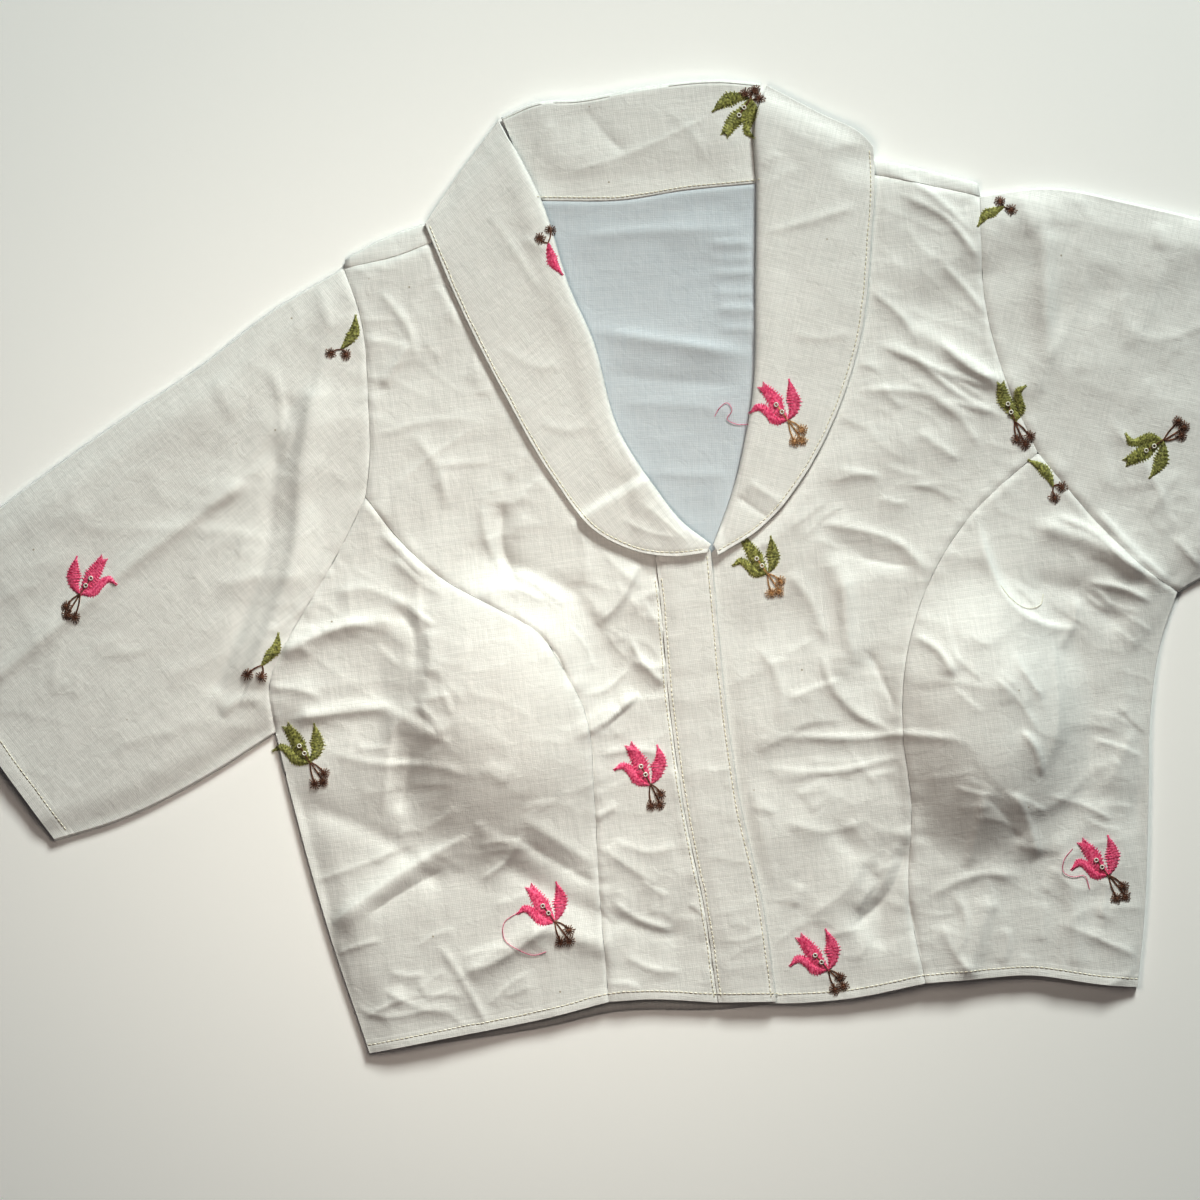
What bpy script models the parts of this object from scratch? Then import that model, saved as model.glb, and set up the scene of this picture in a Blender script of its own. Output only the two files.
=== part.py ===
"""Choli blouse in padded ivory cotton, laid flat on a surface with its front up.

Each piece that a maker would cut is one closed wall of cloth. The panels meet at their seams
with a small gap, the front lies over the back, and the two cups stand up as domes.

The pattern is drafted in millimetres, seen from above: +X runs to the wearer's left, +Y to the
collar and +Z up from the surface, with x = 0 and y = 0 at the middle of the drafting sheet.
"Right" and "left" are the wearer's own.
"""

import bpy
import numpy as np

MM = 0.001

# Cloth, in millimetres
CLOTH = 1.2
COLLAR_CLOTH = 1.8
SEAM_GAP = 0.3

# Heights of the middle of a layer above the surface, in millimetres
REST_Z = CLOTH / 2
EDGE_Z = REST_Z + CLOTH + SEAM_GAP
FRONT_Z = 4.4
EDGE_RISE = 16.0
FOLD_FADE = 12.0
FOLD_INSET = 0.8
LAP = 0.9
LAP_RUN = 9.0
COLLAR_LIFT = 2.0
LIP_WIDTH = 2.5
LIP_DROP = 2.2
FALL_DROP = 1.6

# Seams and edges, each a smooth line through its marks
RIGHT_SHOULDER_FOLD = ((-107, 184), (-86, 192), (-64, 197), (-12, 208))
RIGHT_SHOULDER_SEAM = ((-107, 180), (-78, 183), (-63, 187), (-12, 200))
RIGHT_ARMHOLE_HIGH = ((-107, 180), (-102, 158), (-103, 110), (-106, 82), (-110, 65))
RIGHT_ARMHOLE_LOW = ((-110, 65), (-123, 45), (-139, 23), (-158, -2), (-169, -22), (-169, -46))
RIGHT_SIDE_SEAM = ((-169, -46), (-165, -81), (-156, -142), (-142, -211))
RIGHT_PRINCESS = (
    (-110, 65), (-96, 42), (-79, 22), (-46, -2), (-33, -12), (-23, -31), (-15, -52),
    (-15, -99), (-18, -143), (-20, -200),
)
RIGHT_NECK = ((-12, 200), (-4, 160), (5, 128), (14, 85), (29, 52))
RIGHT_CENTRE_EDGE = ((29, 52), (30, 8), (28, -60), (29, -110), (33, -160), (34, -207))
RIGHT_SIDE_HEM = ((-142, -211), (-101, -208), (-49, -204), (-20, -200))
RIGHT_CENTRE_HEM = ((-20, -200), (-2, -201), (34, -207))

PLACKET_TOP = ((29, 52), (43, 32), (58, 18))
PLACKET_EDGE = ((58, 18), (57, -16), (56, -60), (57, -108), (62, -160), (63, -210))
PLACKET_HEM = ((34, -207), (63, -210))

LEFT_SHOULDER_FOLD = ((112, 212), (155, 204), (174, 198), (214, 183))
LEFT_SHOULDER_SEAM = ((112, 204), (155, 196), (186, 186), (213, 177))
LEFT_ARMHOLE_HIGH = ((213, 177), (211, 159), (209, 125), (214, 86), (226, 46))
LEFT_ARMHOLE_LOW = ((226, 46), (239, 26), (257, 0), (276, -22), (287, -31))
LEFT_SIDE_SEAM = ((287, -31), (276, -54), (267, -86), (260, -133), (251, -189), (243, -225))
LEFT_PRINCESS = (
    (226, 46), (205, 32), (192, 22), (165, -10), (147, -52), (142, -84), (142, -118),
    (135, -169), (138, -210),
)
LEFT_NECK = ((112, 204), (107, 180), (101, 140), (93, 90), (84, 62), (68, 24))
LEFT_HIDDEN_TOP = ((68, 24), (40, 4))
LEFT_HIDDEN_EDGE = ((40, 4), (37, -60), (37, -108), (40, -160), (41, -207))
LEFT_CENTRE_HEM = ((41, -207), (63, -211), (100, -213), (138, -210))
LEFT_SIDE_HEM = ((138, -210), (164, -211), (187, -212), (228, -222), (243, -225))

BACK_NECK = (
    (-12, 208), (-9, 200), (6, 197), (38, 195), (64, 196), (92, 196), (105, 198), (112, 212),
)
BACK_HEM = (
    (-142, -211), (-101, -210), (-49, -208), (-20, -205), (33, -210), (63, -211), (137, -210),
    (164, -212), (187, -214), (228, -223), (243, -225),
)

RIGHT_SLEEVE_TOP = ((-107, 180), (-147, 162), (-184, 140), (-227, 118), (-292, 82), (-357, 42))
RIGHT_SLEEVE_UNDER = ((-169, -46), (-207, -64), (-252, -80), (-285, -86))
RIGHT_CUFF = ((-357, 42), (-332, -2), (-308, -45), (-285, -86))
LEFT_SLEEVE_TOP = ((213, 177), (245, 177), (291, 163), (321, 152), (400, 122), (484, 85))
LEFT_SLEEVE_UNDER = ((287, -31), (299, -26), (320, -22), (349, -26), (434, -53))
LEFT_CUFF = ((484, 85), (469, 36), (451, -10), (434, -53))

# The shawl collar: outer stitched edges, rolls, and the fold at each shoulder
RIGHT_FALL_OUTER = (
    (-64, 197), (-53, 158), (-34, 105), (-16, 63), (3, 33), (23, 21), (40, 17), (54, 17),
)
RIGHT_FALL_ROLL = ((-21, 244), (-5, 200), (4, 154), (11, 132), (20, 80), (33, 53), (46, 32), (56, 21))
RIGHT_FALL_FOLD = ((-64, 197), (-43, 221), (-21, 244))
RIGHT_FALL_TIP = ((54, 17), (56, 21))
LEFT_FALL_OUTER = (
    (164, 210), (161, 194), (156, 161), (145, 114), (128, 77), (107, 47), (91, 31), (81, 24),
    (68, 18), (61, 15),
)
LEFT_FALL_ROLL = ((114, 245), (108, 233), (103, 194), (97, 149), (88, 90), (82, 70), (74, 48), (60, 20))
LEFT_FALL_FOLD = ((114, 245), (140, 226), (164, 210))
LEFT_FALL_TIP = ((60, 20), (61, 15))
COLLAR_ROLL = ((-18, 245), (-1, 250), (20, 249), (51, 251), (91, 250), (111, 246))
COLLAR_SEAM = ((-7, 202), (38, 197), (64, 198), (106, 197))
COLLAR_BACK_RIGHT_END = ((-7, 202), (-18, 245))
COLLAR_BACK_LEFT_END = ((106, 197), (111, 246))
COLLAR_BACK_Z = 4.0
COLLAR_BACK_END_RISE = 22.0
HIDDEN_FALL_SHORT = 3.5

LINING_TOP = ((-6, 199), (38, 194), (64, 195), (106, 194))
LINING_RIGHT = ((44, 8), (20, 48), (2, 100), (-6, 150), (-6, 199))
LINING_LEFT = ((72, 8), (88, 50), (100, 90), (107, 150), (106, 194))
LINING_FOOT = ((44, 8), (72, 8))

# Columns: x, y of the crown, radius across, radius above and below the crown, height
CUPS = (
    (-57, -44, 60, 74, 88, 18),
    (183, -78, 56, 72, 84, 18),
)
CUP_ROUNDNESS = 1.5

# Large soft folds of the fronts and sleeves. Columns: height (a trough is below zero), half
# width, then the marks that the fold runs through.
FOLDS = (
    (4.0, 8, ((-130, 117), (-139, 86), (-149, 39), (-162, 12), (-176, -14))),
    (-1.6, 7, ((-143, 115), (-153, 84), (-164, 39), (-180, 8), (-194, -18))),
    (1.8, 9, ((-302, 0), (-267, 22), (-227, 48), (-177, 76))),
    (2.0, 8, ((-156, -6), (-125, 3), (-108, 2))),
    (1.8, 8, ((-152, -39), (-117, -40), (-92, -55))),
    (-1.4, 9, ((-150, -88), (-120, -106), (-100, -128))),
    (2.4, 10, ((-150, -145), (-128, -132), (-104, -120))),
    (-1.8, 10, ((-60, -128), (-30, -150), (14, -170))),
    (2.2, 9, ((-84, -176), (-50, -160), (-20, -172))),
    (-1.5, 8, ((-47, 26), (-30, 16), (-12, 6))),
    (3.0, 9, ((228, 8), (248, -2), (266, -16))),
    (-2.4, 11, ((222, -20), (240, -26), (252, -40))),
    (2.0, 9, ((243, 150), (238, 118), (236, 94))),
    (1.6, 9, ((176, 112), (206, 86), (220, 78))),
    (1.8, 10, ((118, 2), (122, -20), (116, -48))),
    (-1.6, 10, ((104, -130), (120, -158), (118, -184))),
    (2.0, 10, ((172, -176), (166, -192), (160, -204))),
    (1.6, 10, ((214, -150), (216, -180), (214, -206))),
    (1.8, 12, ((330, 96), (372, 62), (420, 24))),
    (-1.2, 10, ((320, 20), (360, 6), (404, -8))),
)

# Triangle budget: cells along each seam or edge
SHOULDER_CELLS = 9
ARMHOLE_HIGH_CELLS = 11
ARMHOLE_LOW_CELLS = 10
PRINCESS_CELLS = 23
NECK_CELLS = 12
CENTRE_CELLS = ARMHOLE_HIGH_CELLS + PRINCESS_CELLS - NECK_CELLS
PLACKET_CELLS = 3
BACK_NECK_CELLS = 10
SLEEVE_CELLS = 17
FALL_CELLS = 20
FALL_ACROSS = (0.0, 0.22, 0.46, 0.72)

# Colours as linear RGB, and roughness
IVORY = (0.80, 0.79, 0.72)
LINING_WHITE = (0.82, 0.84, 0.86)
COTTON_ROUGHNESS = 0.85


def smooth(t):
    t = np.clip(t, 0.0, 1.0)
    return t * t * (3.0 - 2.0 * t)


def through(marks, cells):
    """Evenly spaced points along the smooth line through the marks."""
    marks = np.array(marks, float)
    chord = np.linalg.norm(np.diff(marks, axis=0), axis=1)
    at = np.concatenate([[0.0], np.cumsum(chord)])
    slope = np.diff(marks, axis=0) / chord[:, None]
    tangent = np.concatenate([slope[:1], slope[-1:]])
    if len(marks) > 2:
        weight = (chord[:-1] / (chord[:-1] + chord[1:]))[:, None]
        middle = slope[:-1] * (1.0 - weight) + slope[1:] * weight
        tangent = np.concatenate([slope[:1], middle, slope[-1:]])
    fine = np.linspace(0.0, at[-1], 24 * len(chord) + 1)
    span = np.clip(np.searchsorted(at, fine, side="right") - 1, 0, len(chord) - 1)
    t = ((fine - at[span]) / chord[span])[:, None]
    length = chord[span][:, None]
    curve = (
        (2 * t**3 - 3 * t**2 + 1) * marks[span]
        + (t**3 - 2 * t**2 + t) * length * tangent[span]
        + (3 * t**2 - 2 * t**3) * marks[span + 1]
        + (t**3 - t**2) * length * tangent[span + 1]
    )
    run = np.concatenate([[0.0], np.cumsum(np.linalg.norm(np.diff(curve, axis=0), axis=1))])
    even = np.linspace(0.0, run[-1], cells + 1)
    return np.stack([np.interp(even, run, curve[:, axis]) for axis in (0, 1)], axis=1)


def joined(*edges):
    """One edge from several that follow each other."""
    return np.concatenate([edges[0]] + [edge[1:] for edge in edges[1:]])


def patch(foot, top, start, end):
    """Grid of points between four edges: rows run from foot to top, columns from start to end."""
    u = np.linspace(0.0, 1.0, len(foot))[None, :, None]
    v = np.linspace(0.0, 1.0, len(start))[:, None, None]
    sides = (1 - u) * start[:, None] + u * end[:, None]
    ends = (1 - v) * foot[None] + v * top[None]
    corners = (
        (1 - u) * (1 - v) * foot[0] + u * (1 - v) * foot[-1] + (1 - u) * v * top[0] + u * v * top[-1]
    )
    return sides + ends - corners


def drawn_in(grid, gap=SEAM_GAP / 2):
    """The grid with each edge moved inwards by half of the gap at a seam."""
    moved = grid.copy()
    for line, inner, shift in (
        (grid[0], grid[1], moved[0]),
        (grid[-1], grid[-2], moved[-1]),
        (grid[:, 0], grid[:, 1], moved[:, 0]),
        (grid[:, -1], grid[:, -2], moved[:, -1]),
    ):
        along = np.gradient(line, axis=0)
        normal = np.stack([-along[:, 1], along[:, 0]], axis=1)
        normal /= np.maximum(np.linalg.norm(normal, axis=1, keepdims=True), 1e-9)
        inwards = np.sign(((inner - line) * normal).sum(axis=1).sum())
        shift += normal * inwards * gap
    return moved


def distance(points, marks):
    """How far each point lies from the line through the marks."""
    best = np.full(points.shape[:-1], np.inf)
    marks = np.array(marks, float)
    for a, b in zip(marks[:-1], marks[1:]):
        run = b - a
        t = np.clip(((points - a) @ run) / max(run @ run, 1e-9), 0.0, 1.0)
        best = np.minimum(best, np.linalg.norm(points - a - t[..., None] * run, axis=-1))
    return best


def folded_edges():
    """The lines where the front layer comes down to the back one."""
    right_sleeve = through(RIGHT_SLEEVE_TOP, 24)
    left_sleeve = through(LEFT_SLEEVE_TOP, 24)
    right_shoulder = through(RIGHT_SHOULDER_FOLD[:3], 6)
    left_shoulder = through(LEFT_SHOULDER_FOLD[1:], 6)
    collar = joined(
        through(RIGHT_FALL_FOLD, 6), through(COLLAR_ROLL, 12), through(LEFT_FALL_FOLD, 6)
    )
    upper = np.concatenate([right_sleeve[::-1], right_shoulder, collar, left_shoulder, left_sleeve])
    right_lower = joined(through(RIGHT_SLEEVE_UNDER, 16)[::-1], through(RIGHT_SIDE_SEAM, 16))
    left_lower = joined(through(LEFT_SLEEVE_UNDER, 16)[::-1], through(LEFT_SIDE_SEAM, 16))
    return upper, right_lower, left_lower


EDGES = folded_edges()


def front_z(points):
    """Height of the middle of the front layer, fronts and sleeves alike."""
    edge = np.min([distance(points, line) for line in EDGES], axis=0)
    z = EDGE_Z + (FRONT_Z - EDGE_Z) * smooth(edge / EDGE_RISE)
    for x, y, across, above, below, height in CUPS:
        along = np.where(points[..., 1] > y, above, below)
        reach = np.hypot((points[..., 0] - x) / across, (points[..., 1] - y) / along)
        z += height * smooth(1.0 - reach**CUP_ROUNDNESS)
    for height, half_width, marks in FOLDS:
        z += height * np.exp(-((distance(points, marks) / half_width) ** 2)) * smooth(edge / FOLD_FADE)
    return z


def placket_edge_x(y):
    """Where the free edge of the placket lies at each height on the pattern."""
    marks = np.array(PLACKET_EDGE, float)[::-1]
    return np.interp(y, marks[:, 1], marks[:, 0])


def raised(grid, z):
    return np.concatenate([grid, np.asarray(z)[..., None]], axis=-1)


def cloth_material(name, colour):
    material = bpy.data.materials.new(name)
    material.use_nodes = True
    shader = material.node_tree.nodes["Principled BSDF"]
    shader.inputs["Base Color"].default_value = (*colour, 1.0)
    shader.inputs["Roughness"].default_value = COTTON_ROUGHNESS
    shader.inputs["Metallic"].default_value = 0.0
    return material


def add_cloth(name, points, faces, thickness, colour):
    """One piece: an open surface of the given points, thickened evenly to both sides."""
    mesh = bpy.data.meshes.new(name)
    mesh.from_pydata((np.asarray(points) * MM).tolist(), [], faces)
    mesh.update()
    mesh.materials.append(cloth_material(name, colour))
    mesh.shade_smooth()
    piece = bpy.data.objects.new(name, mesh)
    blouse.objects.link(piece)
    wall = piece.modifiers.new("Wall", "SOLIDIFY")
    wall.thickness = thickness * MM
    wall.offset = 0.0
    wall.use_even_offset = True
    piece.parent = sheet
    return piece


def grid_faces(rows, columns, ring=False):
    """Quads over a grid of points, whose last column meets the first on a ring."""
    wide = columns if ring else columns - 1
    return [
        (
            row * columns + column,
            row * columns + (column + 1) % columns,
            (row + 1) * columns + (column + 1) % columns,
            (row + 1) * columns + column,
        )
        for row in range(rows - 1)
        for column in range(wide)
    ]


def add_panel(name, grid, thickness=CLOTH, colour=IVORY, ring=False):
    rows, columns = grid.shape[:2]
    return add_cloth(name, grid.reshape(-1, 3), grid_faces(rows, columns, ring), thickness, colour)


def right_fronts():
    armhole_high = through(RIGHT_ARMHOLE_HIGH, ARMHOLE_HIGH_CELLS)
    princess = through(RIGHT_PRINCESS, PRINCESS_CELLS)
    neck = through(RIGHT_NECK, NECK_CELLS)
    centre = through(RIGHT_CENTRE_EDGE, CENTRE_CELLS)
    grid = drawn_in(patch(
        through(RIGHT_CENTRE_HEM, SHOULDER_CELLS),
        through(RIGHT_SHOULDER_SEAM, SHOULDER_CELLS),
        joined(armhole_high, princess)[::-1],
        joined(neck, centre)[::-1],
    ))
    add_panel("front_right_centre", raised(grid, front_z(grid)))
    grid = drawn_in(patch(
        through(RIGHT_SIDE_HEM, ARMHOLE_LOW_CELLS),
        through(RIGHT_ARMHOLE_LOW, ARMHOLE_LOW_CELLS)[::-1],
        through(RIGHT_SIDE_SEAM, PRINCESS_CELLS)[::-1],
        princess[::-1],
    ))
    add_panel("front_right_side", raised(grid, front_z(grid)))


def placket():
    """The band over the closing: level with the right front at its seam, raised at its edge."""
    grid = drawn_in(patch(
        through(PLACKET_HEM, PLACKET_CELLS),
        through(PLACKET_TOP, PLACKET_CELLS),
        through(RIGHT_CENTRE_EDGE, CENTRE_CELLS)[::-1],
        through(PLACKET_EDGE, CENTRE_CELLS)[::-1],
    ))
    rise = np.linspace(0.0, 1.0, PLACKET_CELLS + 1)[None, :]
    add_panel("front_placket", raised(grid, front_z(grid) + LAP * smooth(rise * 3)))


def left_fronts():
    """The left front runs on under the placket, lowered there by the lap."""
    armhole_high = through(LEFT_ARMHOLE_HIGH, ARMHOLE_HIGH_CELLS)
    princess = through(LEFT_PRINCESS, PRINCESS_CELLS)
    neck = through(LEFT_NECK, NECK_CELLS)
    hidden_top = through(LEFT_HIDDEN_TOP, 2)
    hidden_edge = through(LEFT_HIDDEN_EDGE, CENTRE_CELLS - 2)
    grid = drawn_in(patch(
        through(LEFT_CENTRE_HEM, SHOULDER_CELLS + 1),
        through(LEFT_SHOULDER_SEAM, SHOULDER_CELLS + 1),
        joined(neck, hidden_top, hidden_edge)[::-1],
        joined(armhole_high, princess)[::-1],
    ))
    beyond = grid[..., 0] - placket_edge_x(grid[..., 1])
    z = front_z(grid) - LAP * smooth(1.0 - beyond / LAP_RUN)
    add_panel("front_left_centre", raised(grid, z))
    grid = drawn_in(patch(
        through(LEFT_SIDE_HEM, ARMHOLE_LOW_CELLS)[::-1],
        through(LEFT_ARMHOLE_LOW, ARMHOLE_LOW_CELLS)[::-1],
        through(LEFT_SIDE_SEAM, PRINCESS_CELLS)[::-1],
        princess[::-1],
    ))
    add_panel("front_left_side", raised(grid, front_z(grid)))


def turned_shoulder(points, faces, edge, seam):
    """Cloth of the back that comes over the shoulder fold and ends at the front's seam."""
    base = np.array([points[index][:2] for index in edge])
    step = seam - base
    length = np.maximum(np.linalg.norm(step, axis=1, keepdims=True), 1e-6)
    step = step / length
    top_z = front_z(base + step * 2 * FOLD_INSET)
    rows = (
        (base - step * FOLD_INSET, (REST_Z + top_z) / 2),
        (base, top_z),
        (seam - step * (SEAM_GAP / 2), front_z(seam)),
    )
    before = list(edge)
    for place, z in rows:
        first = len(points)
        points.extend(raised(place, z).tolist())
        after = list(range(first, first + len(edge)))
        for a, b, c, d in zip(before[:-1], before[1:], after[1:], after[:-1]):
            faces.append((a, b, c, d))
        before = after


def back():
    """The back lies flat on the surface; its shoulder edges turn over to the front."""
    right_fold = through(RIGHT_SHOULDER_FOLD, SHOULDER_CELLS)
    left_fold = through(LEFT_SHOULDER_FOLD, SHOULDER_CELLS + 1)
    right_side = joined(
        through(RIGHT_ARMHOLE_HIGH, 6), through(RIGHT_ARMHOLE_LOW, 6), through(RIGHT_SIDE_SEAM, 6)
    )
    left_side = joined(
        through(LEFT_ARMHOLE_HIGH, 6), through(LEFT_ARMHOLE_LOW, 6), through(LEFT_SIDE_SEAM, 6)
    )
    right_side[0] = right_fold[0]
    left_side[0] = left_fold[-1]
    top = joined(right_fold, through(BACK_NECK, BACK_NECK_CELLS), left_fold)
    columns = len(top)
    grid = patch(through(BACK_HEM, columns - 1), top, right_side[::-1], left_side[::-1])
    grid = drawn_in(grid)
    inner = drawn_in(grid, FOLD_INSET)
    shoulder_right = list(range(SHOULDER_CELLS + 1))
    shoulder_left = list(range(columns - SHOULDER_CELLS - 2, columns))
    for column in shoulder_right + shoulder_left:
        grid[-1, column] = inner[-1, column]
    rows = len(grid)
    points = raised(grid, np.full(grid.shape[:2], REST_Z)).reshape(-1, 3).tolist()
    faces = grid_faces(rows, columns)
    last = (rows - 1) * columns
    seam = through(RIGHT_SHOULDER_SEAM, SHOULDER_CELLS)
    turned_shoulder(points, faces, [last + column for column in shoulder_right], seam)
    seam = through(LEFT_SHOULDER_SEAM, SHOULDER_CELLS + 1)
    turned_shoulder(points, faces, [last + column for column in shoulder_left], seam)
    add_cloth("back_panel", points, faces, CLOTH, IVORY)


def back_lining():
    """White lining of the back, as far as the neck opening shows it and a little further."""
    grid = patch(
        through(LINING_FOOT, 7), through(LINING_TOP, 7), through(LINING_RIGHT, 12), through(LINING_LEFT, 12)
    )
    add_panel("back_lining", raised(grid, np.full(grid.shape[:2], EDGE_Z)), colour=LINING_WHITE)


def sleeve(name, top, under, cuff, armhole_high, armhole_low, mirrored):
    """A tube pressed flat: rings that run over the front layer and back along the surface."""
    over = joined(
        through(armhole_high, ARMHOLE_HIGH_CELLS), through(armhole_low, ARMHOLE_LOW_CELLS)
    )
    below = joined(through(armhole_high, 6), through(armhole_low, 6))
    top_edge = through(top, SLEEVE_CELLS)
    under_edge = through(under, SLEEVE_CELLS)
    upper = patch(over, through(cuff, len(over) - 1), top_edge, under_edge)
    lower = patch(below, through(cuff, len(below) - 1), top_edge, under_edge)
    for grid in (upper, lower):
        along = grid[1] - grid[0]
        grid[0] += along / np.linalg.norm(along, axis=1, keepdims=True) * SEAM_GAP / 2
    folds = np.stack([upper[:, 0], upper[:, -1]], axis=1)
    for grid in (upper, lower):
        for side, inner in ((0, 1), (-1, -2)):
            step = grid[:, inner] - grid[:, side]
            grid[:, side] += step / np.linalg.norm(step, axis=1, keepdims=True) * FOLD_INSET
    upper = raised(upper, front_z(upper))
    lower = raised(lower, np.full(lower.shape[:2], REST_Z))
    fold_z = (upper[:, [0, -1], 2] + REST_Z) / 2
    folds = raised(folds, fold_z)
    ring = np.concatenate([folds[:, :1], upper, folds[:, 1:], lower[:, ::-1]], axis=1)
    if mirrored:
        ring = ring[:, ::-1]
    add_panel(name, ring, ring=True)


def collar_fall(name, outer, roll, fold, tip):
    """A fall of the shawl collar, lying on the front, with a lip that rolls down at the neck."""
    across_cells = len(FALL_ACROSS) + 1
    outer_edge = through(outer, FALL_CELLS)
    roll_edge = through(roll, FALL_CELLS)
    width = np.linalg.norm(roll_edge - outer_edge, axis=1)
    flat = patch(
        through(tip, across_cells), through(fold, across_cells), outer_edge[::-1], roll_edge[::-1]
    )
    width = width[::-1, None]
    lip = np.clip(1.0 - LIP_WIDTH / width, 0.8, 0.97)
    at = np.concatenate([np.tile(FALL_ACROSS, (len(width), 1)), lip, np.ones_like(width)], axis=1)
    even = np.linspace(0.0, 1.0, across_cells + 1)
    grid = np.empty_like(flat)
    for row, line in enumerate(flat):
        for axis in (0, 1):
            grid[row, :, axis] = np.interp(at[row], even, line[:, axis])
    x = grid[..., 0]
    over_placket = smooth((x - RIGHT_CENTRE_EDGE[0][0] + 11) / 8) * smooth((66 - x) / 4)
    z = front_z(grid) + COLLAR_LIFT + LAP * over_placket
    fold_line = np.array(fold, float)
    corner = np.array(outer[0], float)
    near_fold = 1.0 - smooth(distance(grid, fold_line) / 9)
    from_corner = smooth(np.linalg.norm(grid - corner, axis=-1) / 26)
    z -= FALL_DROP * near_fold * from_corner
    from_top = smooth((distance(grid[:, -1], fold_line) - 4) / 30)
    z[:, -1] -= LIP_DROP * smooth(width[:, 0] / 15) * from_top
    add_panel(name, raised(grid, z), COLLAR_CLOTH)


def collar_back():
    """The back of the collar: its inner face up, folded at the roll, its fall flat behind."""
    across = 12
    grid = patch(
        through(COLLAR_SEAM, across),
        through(COLLAR_ROLL, across),
        through(COLLAR_BACK_RIGHT_END, 5),
        through(COLLAR_BACK_LEFT_END, 5),
    )
    x = grid[..., 0]
    from_ends = smooth(np.minimum(x - x[:, :1], x[:, -1:] - x) / COLLAR_BACK_END_RISE)
    along = np.linspace(0.0, 1.0, 6)[:, None]
    top_z = EDGE_Z + 0.1 + (COLLAR_BACK_Z - EDGE_Z) * from_ends * smooth(along * 2)
    face = raised(grid, top_z)
    face[-1, :, 1] -= FOLD_INSET
    fold = raised(grid[-1:], (top_z[-1:] + REST_Z) / 2)
    behind = raised(grid[::-1], np.full_like(top_z, REST_Z))
    behind[0, :, 1] -= FOLD_INSET
    behind[-1, :, 1] += HIDDEN_FALL_SHORT
    add_panel("collar_back", np.concatenate([face, fold, behind]))


def set_on_origin():
    """Moves the sheet so that the blouse stands on z = 0, centred on the origin."""
    bpy.context.view_layer.update()
    graph = bpy.context.evaluated_depsgraph_get()
    corners = np.array([
        tuple(vertex.co) for piece in blouse.objects if piece.type == "MESH"
        for vertex in piece.evaluated_get(graph).data.vertices
    ])
    low, high = corners.min(axis=0), corners.max(axis=0)
    sheet.location = (-(low[0] + high[0]) / 2, -(low[1] + high[1]) / 2, -low[2])


for old in list(bpy.data.objects):
    bpy.data.objects.remove(old, do_unlink=True)

blouse = bpy.data.collections.new("choli_blouse")
bpy.context.scene.collection.children.link(blouse)
sheet = bpy.data.objects.new("drafting_sheet", None)
blouse.objects.link(sheet)

back()
back_lining()
right_fronts()
left_fronts()
placket()
sleeve(
    "sleeve_right", RIGHT_SLEEVE_TOP, RIGHT_SLEEVE_UNDER, RIGHT_CUFF,
    RIGHT_ARMHOLE_HIGH, RIGHT_ARMHOLE_LOW, False,
)
sleeve(
    "sleeve_left", LEFT_SLEEVE_TOP, LEFT_SLEEVE_UNDER, LEFT_CUFF,
    LEFT_ARMHOLE_HIGH, LEFT_ARMHOLE_LOW, True,
)
collar_back()
collar_fall("collar_right", RIGHT_FALL_OUTER, RIGHT_FALL_ROLL, RIGHT_FALL_FOLD, RIGHT_FALL_TIP)
collar_fall("collar_left", LEFT_FALL_OUTER, LEFT_FALL_ROLL, LEFT_FALL_FOLD[::-1], LEFT_FALL_TIP[::-1])
set_on_origin()
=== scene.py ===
"""Looks of a choli blouse in padded ivory cotton, laid flat with its front up.

Each sewn piece is a thin shell on the form of its solid: the same layer heights and large folds,
and pattern marks within a few millimetres of the solid's, with the creases, hems, stitching and
embroidered buds added. The pattern is drafted in millimetres from above, +X to the wearer's left
and +Y to the collar, and SHEET says where the middle of that drafting sheet lies in the frame.
"""

import math

import bpy
import numpy as np
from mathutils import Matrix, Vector
from mathutils.bvhtree import BVHTree


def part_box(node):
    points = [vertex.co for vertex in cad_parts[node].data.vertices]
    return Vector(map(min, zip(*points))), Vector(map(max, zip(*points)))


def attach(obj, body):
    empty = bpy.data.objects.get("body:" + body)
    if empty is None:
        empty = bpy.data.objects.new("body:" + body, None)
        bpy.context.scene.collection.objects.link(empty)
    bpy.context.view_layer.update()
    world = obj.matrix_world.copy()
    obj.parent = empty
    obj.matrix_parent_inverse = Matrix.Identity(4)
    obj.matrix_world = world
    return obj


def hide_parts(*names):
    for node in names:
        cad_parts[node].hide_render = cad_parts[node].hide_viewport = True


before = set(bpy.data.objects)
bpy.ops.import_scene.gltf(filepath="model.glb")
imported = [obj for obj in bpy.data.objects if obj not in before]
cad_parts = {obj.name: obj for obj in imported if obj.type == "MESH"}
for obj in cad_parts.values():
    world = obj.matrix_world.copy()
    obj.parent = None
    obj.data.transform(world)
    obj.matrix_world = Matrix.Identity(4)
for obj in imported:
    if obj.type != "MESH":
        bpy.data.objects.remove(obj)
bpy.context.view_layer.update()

MM = 0.001
RIGHT, LEFT = "right", "left"

# Cloth, in millimetres. The solids' walls are 0.1 to 0.2 mm thicker, about the same middle.
CLOTH = 1.0
COLLAR_CLOTH = 1.7
SEAM_GAP = 0.3

# Heights of the middle of a layer, and what shapes its edges, in millimetres, near the solids' own
REST_Z = 0.6
EDGE_Z = 2.1
FRONT_Z = 4.4
EDGE_RISE = 16.0
FOLD_FADE = 12.0
FOLD_INSET = 0.8
LAP = 0.9
LAP_RUN = 9.0
COLLAR_LIFT = 2.0
LIP_WIDTH = 2.8
LIP_DROP = 2.2
FALL_DROP = 1.6
COLLAR_BACK_Z = 4.0
COLLAR_BACK_END_RISE = 22.0
HIDDEN_FALL_SHORT = 3.5

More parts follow.
